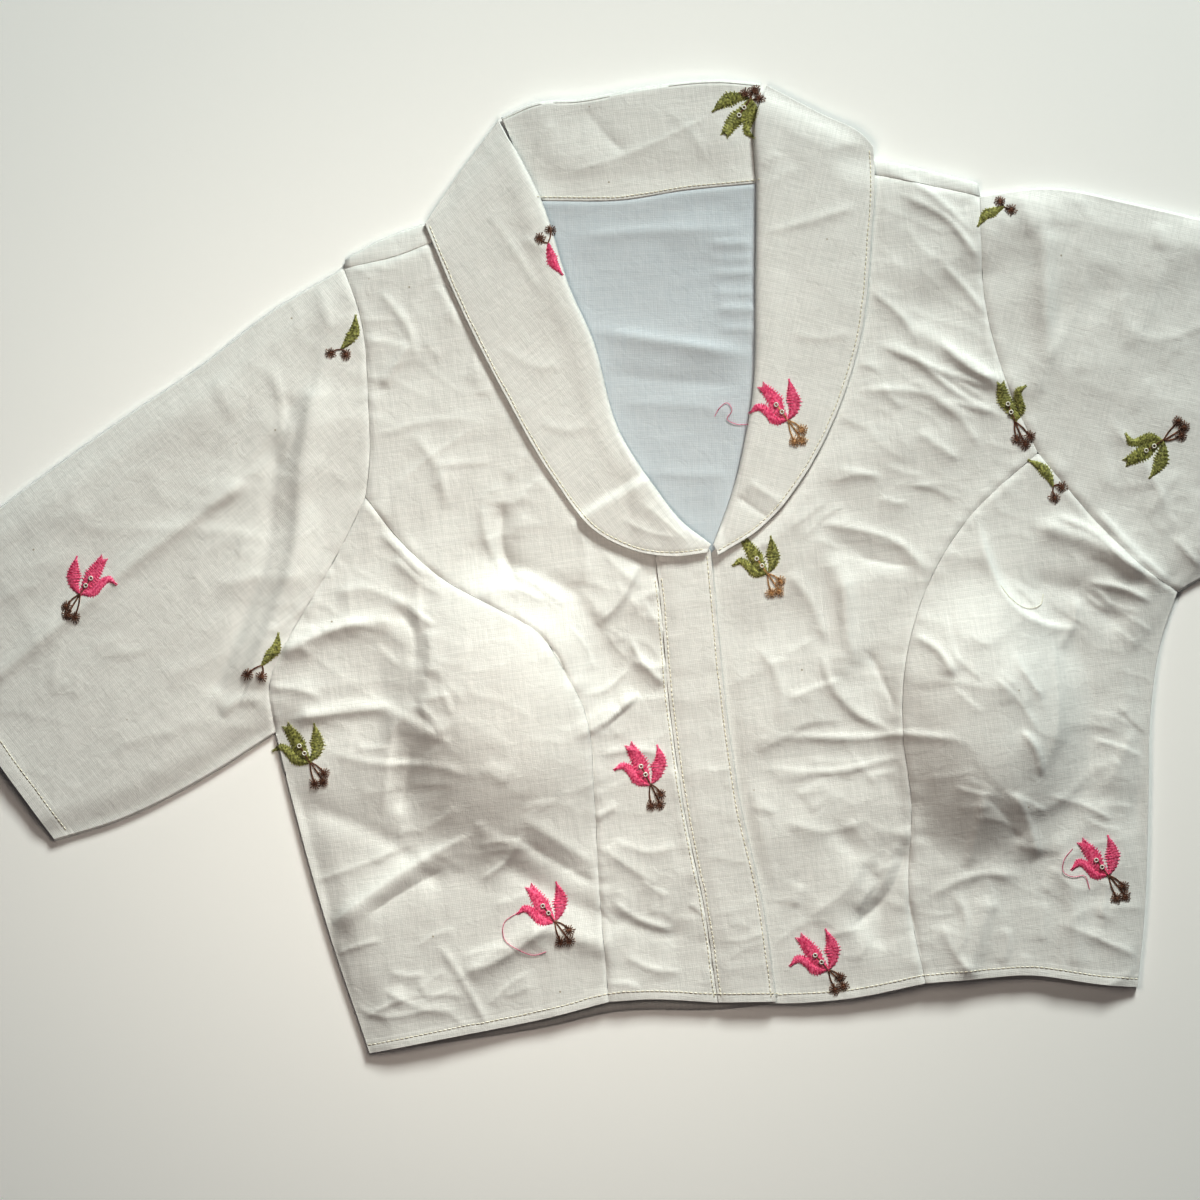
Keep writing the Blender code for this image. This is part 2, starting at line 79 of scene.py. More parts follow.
# Spacing of the shells' points, in millimetres
FRONT_STEP = 1.27
COLLAR_STEP = 1.1
SLEEVE_STEP = 2.2
BACK_STEP = 4.5
LINING_STEP = 1.8
EDGE_STEPS = (0.0, 0.5, 1.3)

# Seams and edges, each a smooth line through its marks
RIGHT_SHOULDER_FOLD = ((-107, 184), (-86, 192), (-64, 197), (-12, 208))
RIGHT_SHOULDER_SEAM = ((-107, 180), (-78, 183), (-63, 187), (-12, 200))
RIGHT_ARMHOLE_HIGH = ((-107, 180), (-102, 158), (-103, 110), (-106, 82), (-110, 65))
RIGHT_ARMHOLE_LOW = ((-110, 65), (-123, 45), (-139, 23), (-158, -2), (-169, -22), (-169, -46))
RIGHT_SIDE_SEAM = ((-169, -46), (-165, -81), (-156, -142), (-142, -211))
RIGHT_PRINCESS = (
    (-110, 65), (-96, 42), (-79, 22), (-46, -2), (-33, -12), (-23, -31), (-15, -52),
    (-15, -99), (-18, -143), (-20, -200),
)
RIGHT_NECK = ((-12, 200), (-4, 160), (5, 128), (14, 85), (29, 52))
RIGHT_CENTRE_EDGE = ((29, 52), (30, 8), (28, -60), (29, -110), (33, -160), (34, -207))
RIGHT_SIDE_HEM = ((-142, -211), (-101, -208), (-49, -204), (-20, -200))
RIGHT_CENTRE_HEM = ((-20, -200), (-2, -201), (34, -207))
PLACKET_TOP = ((29, 52), (43, 32), (58, 18))
PLACKET_EDGE = ((58, 18), (57, -16), (56, -60), (57, -108), (62, -160), (63, -210))
PLACKET_HEM = ((34, -207), (63, -210))
LEFT_SHOULDER_FOLD = ((112, 212), (155, 204), (174, 198), (214, 183))
LEFT_SHOULDER_SEAM = ((112, 204), (155, 196), (186, 186), (213, 177))
LEFT_ARMHOLE_HIGH = ((213, 177), (211, 159), (209, 125), (214, 86), (226, 46))
LEFT_ARMHOLE_LOW = ((226, 46), (239, 26), (257, 0), (276, -22), (287, -31))
LEFT_SIDE_SEAM = ((287, -31), (276, -54), (267, -86), (260, -133), (251, -189), (243, -225))
LEFT_PRINCESS = (
    (226, 46), (205, 32), (192, 22), (165, -10), (147, -52), (142, -84), (142, -118),
    (135, -169), (138, -210),
)
LEFT_NECK = ((112, 204), (107, 180), (101, 140), (93, 90), (84, 62), (68, 24))
LEFT_HIDDEN_TOP = ((68, 24), (40, 4))
LEFT_HIDDEN_EDGE = ((40, 4), (37, -60), (37, -108), (40, -160), (41, -207))
LEFT_CENTRE_HEM = ((41, -207), (63, -211), (100, -213), (138, -210))
LEFT_SIDE_HEM = ((138, -210), (164, -211), (187, -212), (228, -222), (243, -225))
BACK_NECK = (
    (-12, 208), (-9, 200), (6, 197), (38, 195), (64, 196), (92, 196), (105, 198), (112, 212),
)
BACK_HEM = (
    (-142, -211), (-101, -210), (-49, -208), (-20, -205), (33, -210), (63, -211), (137, -210),
    (164, -212), (187, -214), (228, -223), (243, -225),
)
RIGHT_SLEEVE_TOP = ((-107, 180), (-147, 162), (-184, 140), (-227, 118), (-292, 82), (-357, 42))
RIGHT_SLEEVE_UNDER = ((-169, -46), (-207, -64), (-252, -80), (-285, -86))
RIGHT_CUFF = ((-357, 42), (-332, -2), (-308, -45), (-285, -86))
LEFT_SLEEVE_TOP = ((213, 177), (245, 177), (291, 163), (321, 152), (400, 122), (484, 85))
LEFT_SLEEVE_UNDER = ((287, -31), (299, -26), (320, -22), (349, -26), (434, -53))
LEFT_CUFF = ((484, 85), (469, 36), (451, -10), (434, -53))
RIGHT_FALL_OUTER = (
    (-64, 197), (-53, 158), (-34, 105), (-16, 63), (3, 33), (23, 21), (40, 17), (56, 17),
)
RIGHT_FALL_ROLL = (
    (-21, 244), (-5, 200), (4, 154), (11, 132), (20, 80), (33, 53), (46, 32), (58, 20.5),
)
RIGHT_FALL_FOLD = ((-64, 197), (-43, 221), (-21, 244))
RIGHT_FALL_TIP = ((56, 17), (58, 20.5))
LEFT_FALL_OUTER = (
    (163, 208), (162, 194), (156, 161), (145, 114), (128, 77), (107, 47), (91, 31), (81, 24),
    (68, 18), (61, 15),
)
LEFT_FALL_ROLL = (
    (114, 245), (108, 233), (103, 194), (97, 149), (88, 90), (82, 70), (74, 48), (60, 20),
)
LEFT_FALL_FOLD = ((114, 245), (140, 227), (158, 215), (163, 208))
LEFT_FALL_TIP = ((60, 20), (61, 15))
COLLAR_ROLL = ((-19.4, 245), (-1, 250), (20, 249), (51, 251), (91, 250), (111, 246))
COLLAR_SEAM = ((-8, 202), (38, 197), (64, 198), (106, 197))
COLLAR_BACK_RIGHT_END = ((-8, 202), (-19.4, 245))
COLLAR_BACK_LEFT_END = ((106, 197), (111, 246))
LINING_TOP = ((-6, 204), (38, 199), (64, 200), (106, 199))
LINING_RIGHT = ((44, 8), (20, 48), (2, 100), (-6, 150), (-6, 199))
LINING_LEFT = ((72, 8), (88, 50), (100, 90), (107, 150), (106, 194))
LINING_FOOT = ((44, 8), (72, 8))
LINING_SIDE_CELLS = 12

# Columns: x, y of the crown, radius across, radius above and below the crown, height. The right
# cup is 1.5 mm lower than its solid, which keeps its shaded side pale.
CUPS = (
    (-57, -46, 62, 76, 96, 16.5),
    (183, -78, 56, 72, 84, 18),
)
CUP_ROUNDNESS = 1.5

# How much deeper than noted the creases of the fronts and sleeves are pressed in
PRESSED = 1.35

# Large folds of the fronts and sleeves, where the solids have theirs. Columns for this and every
# table of creases: height (a trough is below zero), run to the left and to the right of the marks'
# way, then the marks that it runs through.
LARGE_FOLDS = (
    (3.4, 13, 8, ((-130, 117), (-139, 86), (-149, 39), (-162, 12), (-176, -14))),
    (-1.6, 7, 9, ((-143, 115), (-153, 84), (-164, 39), (-180, 8), (-194, -18))),
    (1.8, 10, 7, ((-302, 0), (-267, 22), (-227, 48), (-177, 76))),
    (2.0, 6, 9, ((-156, -6), (-125, 3), (-108, 2))),
    (1.8, 6, 8, ((-152, -39), (-117, -40), (-92, -55))),
    (-1.4, 9, 9, ((-150, -88), (-120, -106), (-100, -128))),
    (2.4, 9, 10, ((-150, -145), (-128, -132), (-104, -120))),
    (-1.8, 10, 9, ((-60, -128), (-30, -150), (14, -170))),
    (2.2, 9, 9, ((-84, -176), (-50, -160), (-20, -172))),
    (-1.5, 8, 8, ((-47, 26), (-30, 16), (-12, 6))),
    (3.0, 7, 9, ((228, 8), (248, -2), (266, -16))),
    (-2.4, 11, 11, ((222, -20), (240, -26), (252, -40))),
    (2.0, 8, 9, ((243, 150), (238, 118), (236, 94))),
    (1.6, 9, 8, ((176, 112), (206, 86), (220, 78))),
    (1.8, 9, 9, ((118, 2), (122, -20), (116, -48))),
    (-1.6, 10, 10, ((104, -130), (120, -158), (118, -184))),
    (2.0, 9, 9, ((172, -176), (166, -192), (160, -204))),
    (1.6, 10, 8, ((214, -150), (216, -180), (214, -206))),
    (1.8, 12, 10, ((330, 96), (372, 62), (420, 24))),
    (-1.2, 10, 10, ((320, 20), (360, 6), (404, -8))),
)
RIGHT_FRONT_CREASES = (
    (1.0, 3, 4, ((-132, 19), (-115, 20), (-102, 13))),
    (1.6, 2, 8, ((-107, 17), (-96, 9), (-82, -4))),
    (-1.4, 7, 4, ((-103, 10), (-94, -5), (-96, -24))),
    (1.4, 6, 3, ((-87, -3), (-87, -15), (-90, -29))),
    (1.5, 5, 2, ((-97, -39), (-91, -48), (-84, -59))),
    (0.8, 2, 3, ((-98, -38), (-87, -38), (-78, -38))),
    (0.8, 2, 3, ((-149, -57), (-122, -67), (-91, -72), (-70, -81))),
    (1.5, 4, 8, ((-108, -43), (-114, -64), (-121, -95))),
    (-1.1, 8, 4, ((-102, -59), (-107, -78), (-113, -96))),
    (1.6, 3, 12, ((-157, -147), (-130, -131), (-97, -115), (-74, -107))),
    (-1.2, 7, 6, ((-136, -143), (-114, -132), (-91, -123))),
    (1.1, 3, 4, ((-91, -176), (-75, -173), (-59, -166), (-42, -155))),
    (0.7, 2, 3, ((-102, -158), (-91, -180), (-80, -208))),
    (0.7, 3, 3, ((-156, -161), (-143, -157), (-128, -155))),
    (-1.0, 4, 4, ((-61, -108), (-38, -127), (-15, -144))),
    (1.0, 4, 4, ((-55, -100), (-34, -118), (-17, -133))),
    (1.3, 7, 3, ((-13, -124), (-1, -135), (13, -146))),
    (1.2, 3, 4, ((-14, -148), (-1, -160), (18, -169))),
    (-1.3, 2, 2, ((-33, -12), (-24, -26), (-20, -43))),
    (1.7, 7, 2, ((-22, -67), (-5, -61), (14, -48))),
    (2.2, 3, 12, ((22, 17), (11, -1), (-4, -13))),
    (-2.5, 6, 11, ((-42, 56), (-45, 31), (-39, 10))),
    (1.4, 8, 3, ((-54, 58), (-52, 36), (-46, 16))),
    (1.4, 2, 8, ((-60, 8), (-49, 12), (-37, 9), (-27, 1))),
    (1.2, 4, 4, ((-46, 19), (-34, 14), (-17, -2))),
    (1.2, 3, 3, ((-106, 48), (-94, 34), (-84, 20))),
    (0.9, 3, 3, ((-102, 36), (-89, 21), (-75, 10))),
    (1.2, 3, 4, ((12, -19), (16, -31), (28, -47))),
    (0.9, 3, 3, ((11, -31), (23, -37), (33, -37))),
    (1.5, 3, 5, ((-162, -6), (-142, 0), (-125, 3), (-112, 2))),
    (1.0, 3, 3, ((-170, -23), (-155, -26), (-143, -32))),
    (1.2, 3, 4, ((-161, -40), (-133, -40), (-117, -40), (-106, -41))),
    (0.8, 2, 3, ((-77, -132), (-63, -124), (-52, -109))),
    (0.7, 2, 2, ((-16, -46), (-3, -45), (11, -35))),
    (0.8, 2, 2, ((-10, -77), (6, -76), (24, -81))),
    (0.8, 3, 4, ((-134, -178), (-112, -192), (-96, -196))),
    (0.9, 3, 3, ((-78, 140), (-96, 118))),
    (1.0, 4, 4, ((-84, 96), (-72, 74), (-70, 52))),
    (0.8, 3, 4, ((-10, 44), (-4, 26), (-8, 8))),
    (0.8, 3, 3, ((-92, 168), (-80, 150), (-76, 128))),
    (0.8, 3, 4, ((-8, -120), (10, -128), (24, -126))),
    (0.7, 3, 3, ((-12, -176), (4, -186), (20, -190))),
)
LEFT_FRONT_CREASES = (
    (1.4, 3, 5, ((113, 24), (133, 19), (153, 9), (165, -9))),
    (-1.4, 12, 4, ((112, 14), (137, 3), (161, -4))),
    (1.4, 10, 3, ((123, 3), (120, -31), (123, -50))),
    (-1.3, 2, 2, ((129, -40), (134, -53), (141, -75))),
    (1.4, 7, 2, ((105, -38), (110, -58), (121, -73), (138, -83))),
    (1.0, 2, 3, ((81, -78), (120, -84), (145, -85), (174, -92))),
    (0.8, 2, 3, ((65, -92), (102, -99), (145, -95))),
    (1.6, 3, 4, ((152, -36), (163, -44), (171, -61))),
    (0.9, 2, 3, ((190, -62), (201, -76), (208, -92))),
    (1.5, 2, 3, ((200, -89), (206, -100), (208, -115))),
    (1.3, 4, 5, ((221, -44), (221, -68), (218, -92), (209, -112))),
    (1.6, 3, 5, ((193, -119), (198, -135), (202, -156))),
    (-1.0, 8, 6, ((177, -120), (187, -131), (194, -147))),
    (1.5, 10, 2, ((178, -117), (171, -138), (164, -157))),
    (-2.3, 9, 9, ((139, -136), (127, -161), (102, -180))),
    (1.5, 12, 8, ((120, -138), (105, -158), (82, -171))),
    (-1.5, 3, 3, ((134, -165), (136, -181), (138, -199))),
    (1.0, 4, 4, ((142, -168), (171, -159), (193, -163))),
    (0.9, 4, 5, ((209, -124), (225, -130), (242, -141))),
    (0.9, 5, 5, ((205, -186), (226, -198), (248, -211))),
    (1.8, 3, 4, ((227, 16), (248, 4), (264, -14), (288, -30))),
    (1.2, 3, 3, ((240, -20), (259, -26), (274, -35))),
    (2.3, 2, 12, ((192, 20), (195, -6), (205, -29), (221, -40), (239, -43))),
    (1.0, 3, 3, ((237, -27), (232, -42), (223, -53))),
    (1.2, 4, 4, ((94, 4), (104, -13), (110, -36))),
    (0.9, 4, 4, ((149, -180), (154, -196), (164, -211))),
    (0.8, 3, 3, ((257, -95), (245, -116), (236, -127))),
    (0.8, 3, 3, ((157, -165), (162, -181), (155, -199))),
    (1.2, 2, 4, ((163, 200), (188, 182), (210, 155))),
    (1.1, 2, 3, ((172, 184), (195, 168), (210, 143))),
    (1.0, 2, 3, ((189, 147), (201, 131), (209, 117))),
    (1.1, 3, 2, ((152, 111), (177, 96), (209, 80))),
    (1.2, 2, 3, ((183, 108), (199, 91), (213, 83))),
    (1.2, 2, 4, ((168, 104), (194, 77), (215, 64))),
    (1.0, 2, 3, ((138, 89), (175, 82), (200, 63))),
    (1.0, 2, 3, ((175, 81), (189, 69), (198, 52))),
    (1.4, 2, 3, ((250, 16), (268, -9), (284, -26))),
    (1.0, 3, 3, ((182, 110), (213, 78))),
    (0.9, 3, 3, ((157, 112), (207, 73))),
    (0.8, 2, 3, ((192, 101), (213, 83))),
    (0.8, 2, 3, ((183, 78), (206, 69))),
    (0.9, 3, 4, ((167, 65), (187, 47))),
    (0.8, 4, 4, ((74, -30), (84, -52), (80, -74))),
    (0.8, 3, 4, ((76, -120), (96, -128), (120, -126))),
    (0.8, 3, 3, ((236, -168), (228, -190))),
    (0.8, 4, 4, ((150, 140), (168, 120), (176, 100))),
)
SLEEVE_CREASES = (
    (0.5, 1.5, 3, ((-302, 0), (-267, 22), (-227, 48), (-177, 76), (-137, 101))),
    (0.5, 2, 3, ((-271, 75), (-250, 68), (-200, 60), (-155, 51))),
    (0.9, 4, 4, ((-121, 176), (-117, 148))),
    (0.7, 3, 4, ((-220, -20), (-200, 6), (-188, 20))),
    (0.6, 3, 4, ((-318, 24), (-300, 36), (-270, 44))),
    (0.8, 4, 3, ((-150, 140), (-146, 112), (-152, 92))),
    (0.5, 3, 3, ((-262, -52), (-236, -40), (-214, -40))),
    (1.4, 3, 5, ((-172, -30), (-184, -28), (-196, -34))),
    (1.3, 5, 7, ((242, 178), (241, 144), (237, 97))),
    (0.9, 2, 3, ((232, 179), (234, 169), (237, 152))),
    (0.8, 3, 4, ((262, 136), (253, 113), (234, 89))),
    (0.8, 4, 3, ((297, 134), (288, 109), (274, 90))),
    (0.8, 3, 3, ((300, 153), (299, 139))),
    (1.1, 4, 3, ((288, -4), (300, -21))),
    (0.8, 4, 4, ((262, 60), (280, 30), (288, 4))),
    (1.0, 5, 6, ((330, 96), (372, 62), (420, 24))),
    (0.8, 4, 4, ((392, -20), (420, 10), (452, 30))),
    (0.7, 3, 3, ((352, 120), (380, 90))),
    (0.7, 3, 4, ((330, 0), (352, -12), (380, -12))),
)
COLLAR_CREASES = (
    (-1.3, 9, 2, ((-12, 42), (10, 52), (36, 63))),
    (0.9, 3, 4, ((26, 47), (36, 36), (48, 22))),
    (0.6, 2, 3, ((14, 40), (30, 30), (44, 26))),
    (-1.2, 3, 3, ((73, 44), (82, 36), (90, 29))),
    (0.9, 3, 4, ((80, 50), (92, 40), (98, 34))),
    (0.7, 2, 2, ((101, 171), (133, 176), (153, 180))),
    (0.6, 2, 2, ((104, 193), (125, 203))),
    (0.5, 2, 2, ((106, 205), (116, 211))),
    (0.6, 2, 3, ((-33, 202), (-20, 176), (-8, 152))),
    (0.6, 2, 2, ((-17, 184), (-4, 176))),
    (0.6, 3, 3, ((110, 120), (126, 116), (142, 118))),
    (0.6, 3, 4, ((-34, 132), (-18, 120), (-4, 118))),
    (0.5, 2, 3, ((-20, 92), (-4, 86), (8, 88))),
)
STAND_CREASES = (
    (0.8, 3, 3, ((-8, 214), (1, 235), (8, 240))),
    (-0.9, 5, 5, ((20, 247), (37, 223), (42, 218))),
    (0.5, 2, 3, ((4, 213), (35, 218), (89, 235))),
    (0.4, 3, 3, ((62, 240), (76, 222), (80, 210))),
)
LINING_CREASES = (
    (1.2, 5, 7, ((4, 182), (50, 180), (99, 174))),
    (1.9, 4, 9, ((8, 136), (50, 124), (94, 111))),
    (-0.9, 7, 7, ((16, 112), (50, 104), (88, 96))),
    (0.9, 5, 5, ((20, 96), (52, 92), (84, 84))),
    (0.8, 4, 4, ((34, 60), (56, 56), (72, 54))),
) + tuple((0.9, 2, 3, ((74, y), (86, y - 2), (98, y - 3))) for y in (171, 163, 156, 146, 138, 128))

# The right fall: a pressed line across it, how high the cloth steps up at that line, how far the
# step runs out towards the tip, and how much the rolled edge stands up near the shoulder
PRESSED_LINE = ((-16, 36), (5, 46), (31, 57), (42, 62))
PRESSED_STEP = 1.9
PRESSED_STEP_RUN = 18.0
RIGHT_ROLL_LIFT = 2.4

# Soft waves of the cloth. Columns: height, length from crest to crest, which pattern of waves,
# how far it is drawn out across and along, degrees that it is turned by
FRONT_WAVES = (
    (1.3, 46, 3, (1.3, 0.8), 30),
    (0.7, 21, 5, (1.6, 0.8), 20),
    (0.16, 8, 8, (0.8, 1.7), -15),
)
PLACKET_WAVES = ((0.22, 12, 21, (2.0, 0.8), 0), (0.1, 5, 22, (1.5, 0.8), 0))
FALL_WAVES = ((0.35, 30, 31, (1.0, 1.0), 0), (0.1, 8, 33, (1.0, 1.0), 0))
STAND_WAVES = ((0.3, 26, 41, (1.0, 1.0), 0), (0.1, 9, 43, (1.0, 1.0), 0))
LINING_WAVES = ((0.35, 26, 51, (1.8, 0.8), 0), (0.15, 9, 53, (1.8, 0.8), 0))

# Puckers along the seams, and the turned hems with their groove of stitches, in millimetres
PUCKER_HEIGHT = 0.5
PUCKER_LENGTH = 5.0
PUCKER_REACH = 7.0
SEAM_DEPTH = 0.65
HEM_WIDTH = 6.0
CUFF_HEM_WIDTH = 9.0
HEM_RISE = 0.35
STITCHES_FROM_HEM_TOP = 1.4
GROOVE_HALF_WIDTH = 0.9

# Sewing thread: stitches, and how far they wander from their line, in millimetres
STITCH_PITCH = 2.4
STITCH_LENGTH = 2.2
STITCH_THICKNESS = 0.62
STITCH_WANDER = 0.25

# Where short creases lie close together. Columns: x, y of the middle, how far they spread across
# and along, degrees from +X that they run at, and how many
CREASED_PLACES = (
    (-66, 140, 34, 36, -52, 9),
    (-60, 60, 36, 24, 24, 10),
    (-140, 4, 26, 26, 4, 9),
    (-92, -20, 26, 30, -58, 8),
    (-120, -80, 34, 34, 12, 9),
    (-60, -100, 34, 34, -20, 7),
    (-96, -168, 44, 28, 22, 12),
    (6, -10, 22, 34, -52, 8),
    (4, -90, 22, 40, 10, 10),
    (8, -170, 24, 26, -24, 7),
    (46, -110, 12, 80, 4, 8),
    (92, 0, 30, 36, 66, 8),
    (100, -80, 34, 40, 8, 12),
    (100, -165, 34, 30, 52, 9),
    (150, 120, 40, 44, -38, 12),
    (150, 30, 34, 26, -16, 8),
    (190, -50, 34, 34, -60, 9),
    (200, -120, 44, 30, -30, 9),
    (200, -185, 44, 22, 70, 9),
    (250, -30, 20, 24, -36, 9),
    (250, -120, 16, 50, -20, 6),
    (-150, 120, 30, 30, 56, 6),
    (-240, 20, 70, 60, 28, 12),
    (-300, -10, 40, 60, 62, 7),
    (250, 120, 26, 50, 84, 8),
    (300, 60, 50, 60, 40, 12),
    (400, 40, 60, 60, 24, 10),
)


def smooth(t):
    """0 up to t = 0, 1 from t = 1, and a soft step between."""
    t = np.clip(t, 0.0, 1.0)
    return t * t * (3.0 - 2.0 * t)


def smooth_line(marks, per_span=24):
    """Closely spaced points along the smooth line through the marks."""
    marks = np.array(marks, float)
    chord = np.linalg.norm(np.diff(marks, axis=0), axis=1)
    at = np.concatenate([[0.0], np.cumsum(chord)])
    slope = np.diff(marks, axis=0) / chord[:, None]
    tangent = np.concatenate([slope[:1], slope[-1:]])
    if len(marks) > 2:
        weight = (chord[:-1] / (chord[:-1] + chord[1:]))[:, None]
        middle = slope[:-1] * (1.0 - weight) + slope[1:] * weight
        tangent = np.concatenate([slope[:1], middle, slope[-1:]])
    fine = np.linspace(0.0, at[-1], per_span * len(chord) + 1)
    span = np.clip(np.searchsorted(at, fine, side="right") - 1, 0, len(chord) - 1)
    t = ((fine - at[span]) / chord[span])[:, None]
    length = chord[span][:, None]
    return (
        (2 * t**3 - 3 * t**2 + 1) * marks[span]
        + (t**3 - 2 * t**2 + t) * length * tangent[span]
        + (3 * t**2 - 2 * t**3) * marks[span + 1]
        + (t**3 - t**2) * length * tangent[span + 1]
    )


def joined(*lines):
    """One line from several that follow each other."""
    return np.concatenate([lines[0]] + [line[1:] for line in lines[1:]])


def length_of(line):
    """Length of a line of points."""
    return np.linalg.norm(np.diff(line, axis=0), axis=1).sum()


def spaced(line, at):
    """Points of the line at the given shares of its length."""
    run = np.concatenate([[0.0], np.cumsum(np.linalg.norm(np.diff(line, axis=0), axis=1))])
    at = np.asarray(at) * run[-1]
    return np.stack([np.interp(at, run, line[:, axis]) for axis in range(line.shape[1])], axis=1)


def shares(length, step):
    """Shares of a length, one step apart, with closer ones at both ends for a crisp edge."""
    edge = np.array(EDGE_STEPS) / length
    middle = np.linspace(edge[-1], 1.0 - edge[-1], max(2, int(round(length / step))))
    return np.concatenate([edge[:-1], middle, 1.0 - edge[:-1][::-1]])


def patch(foot, top, start, end, u, v):
    """Grid between four lines: rows run from foot to top at v, columns from start to end at u."""
    foot, top, start, end = spaced(foot, u), spaced(top, u), spaced(start, v), spaced(end, v)
    u, v = u[None, :, None], v[:, None, None]
    sides = (1 - u) * start[:, None] + u * end[:, None]
    ends = (1 - v) * foot[None] + v * top[None]
    corners = (
        (1 - u) * (1 - v) * foot[0] + u * (1 - v) * foot[-1] + (1 - u) * v * top[0] + u * v * top[-1]
    )
    return sides + ends - corners


def drawn_in(grid, gap=SEAM_GAP / 2):
    """The grid with each edge moved inwards by half of the gap at a seam."""
    moved = grid.copy()
    for line, inner, shift in (
        (grid[0], grid[1], moved[0]),
        (grid[-1], grid[-2], moved[-1]),
        (grid[:, 0], grid[:, 1], moved[:, 0]),
        (grid[:, -1], grid[:, -2], moved[:, -1]),
    ):
        along = np.gradient(line, axis=0)
        normal = np.stack([-along[:, 1], along[:, 0]], axis=1)
        normal /= np.maximum(np.linalg.norm(normal, axis=1, keepdims=True), 1e-9)
        inwards = np.sign(((inner - line) * normal).sum(axis=1).sum())
        shift += normal * inwards * gap
    return moved


def nearest(points, line):
    """For each point: distance to the line, side (+1 to the left of its way), and share along it."""
    best = np.full(points.shape[:-1], np.inf)
    side = np.zeros_like(best)
    share = np.zeros_like(best)
    run = np.concatenate([[0.0], np.cumsum(np.linalg.norm(np.diff(line, axis=0), axis=1))])
    for index, (a, b) in enumerate(zip(line[:-1], line[1:])):
        step = b - a
        t = np.clip(((points - a) @ step) / max(step @ step, 1e-9), 0.0, 1.0)
        off = points - a - t[..., None] * step
        far = np.linalg.norm(off, axis=-1)
        closer = far < best
        best = np.where(closer, far, best)
        left = np.sign(step[0] * off[..., 1] - step[1] * off[..., 0])
        side = np.where(closer, left, side)
        share = np.where(closer, (run[index] + t * (run[index + 1] - run[index])) / run[-1], share)
    return best, side, share


def distance(points, line):
    """Distance from each point to the line."""
    return nearest(points, np.asarray(line, float))[0]


def relief(points, table, sharp=True):
    """Height that the creases of a table add. Sharp ones have a pressed crest and uneven sides,
    and die away towards their ends; the others are the large folds, with a rounded crest."""
    z = np.zeros(points.shape[:-1])
    for number, (height, left_run, right_run, marks) in enumerate(table):
        line = smooth_line(marks, 5)
        reach = 3.4 * max(left_run, right_run)
        low, high = line.min(axis=0) - reach, line.max(axis=0) + reach
        near = ((points > low) & (points < high)).all(axis=-1)
        if not near.any():
            continue
        far, side, share = nearest(points[near], line)
        run = np.where(side > 0, left_run, right_run)
        if sharp:
            along = np.stack([share * length_of(line) / 16.0, far / 40.0 + 7.0 * number], axis=-1)
            uneven = ripple(along, 1.0, 61)
            run = run * (1.0 + 0.35 * ripple(along, 1.0, 67))
            crest = np.exp(-((1.2 * far / run) ** 1.05)) * smooth((reach - far) / (0.4 * reach))
            crest *= (1.0 + 0.4 * uneven) * smooth(np.minimum(share, 1.0 - share) / 0.22)
        else:
            crest = (1.0 + (1.25 * far / run) ** 2) ** -1.8 * smooth((reach - far) / (0.4 * reach))
        z[near] += height * crest
    return z


def short_creases():
    """Short pressed lines around the creased places, each with one narrow and one broad side."""
    rng = np.random.default_rng(23)
    table = []
    for x, y, across, along, way, count in CREASED_PLACES:
        for _ in range(count):
            middle = np.array([x, y]) + rng.uniform(-1.0, 1.0, 2) * (across, along)
            turn = math.radians(way + rng.normal(0.0, 17.0))
            ahead = np.array([math.cos(turn), math.sin(turn)])
            half = rng.uniform(6.0, 17.0)
            bend = rng.uniform(-0.2, 0.2) * half * np.array([-ahead[1], ahead[0]])
            narrow, broad = rng.uniform(1.3, 2.1), rng.uniform(3.0, 8.0)
            runs = (narrow, broad) if rng.random() < 0.5 else (broad, narrow)
            marks = (middle - ahead * half, middle + bend, middle + ahead * half)
            table.append((rng.uniform(0.35, 0.85), *runs, marks))
    return table


def turned(points, degrees):
    """The two coordinates of the points along axes turned by the given angle."""
    c, s = math.cos(math.radians(degrees)), math.sin(math.radians(degrees))
    return points[..., 0] * c + points[..., 1] * s, -points[..., 0] * s + points[..., 1] * c


def ripple(points, wavelength, seed, stretch=(1.0, 1.0), turn=0.0):
    """Smooth uneven waves between about -1 and 1, of the given wavelength in millimetres."""
    size = 256
    start_x, start_y = 97.3, 41.7
    heights = np.random.default_rng(seed).uniform(-1.0, 1.0, (size, size))
    x, y = turned(points, turn)
    x = x / (wavelength * stretch[0]) + start_x
    y = y / (wavelength * stretch[1]) + start_y
    column, row = np.floor(x).astype(int), np.floor(y).astype(int)
    u, v = smooth(x - column), smooth(y - row)

    def along_row(number):
        here = heights[number % size, column % size]
        after = heights[number % size, (column + 1) % size]
        return here * (1 - u) + after * u

    return along_row(row) * (1 - v) + along_row(row + 1) * v


def waves(points, table):
    """The sum of the waves of a table."""
    z = np.zeros(points.shape[:-1])
    for height, length, pattern, stretch, turn in table:
        z += height * ripple(points, length, pattern, stretch, turn)
    return z


def crumple(points, wavelength, seed, stretch=(1.0, 1.0), turn=0.0):
    """Sharp uneven ridges between soft hollows, 0 to 1, as in cloth that was crushed and pressed."""
    bent = points + np.stack([
        ripple(points, wavelength * 1.7, seed + 50), ripple(points, wavelength * 1.7, seed + 60),
    ], axis=-1) * wavelength * 0.5
    return (1.0 - np.abs(ripple(bent, wavelength, seed, stretch, turn))) ** 5


def inside(points, outline):
    """Which points lie inside a closed outline."""
    found = np.zeros(points.shape[:-1], bool)
    x, y = points[..., 0], points[..., 1]
    for a, b in zip(outline, np.roll(outline, -1, axis=0)):
        if a[1] == b[1]:
            continue
        crosses = (a[1] > y) != (b[1] > y)
        found ^= crosses & (x < (b[0] - a[0]) * (y - a[1]) / (b[1] - a[1]) + a[0])
    return found


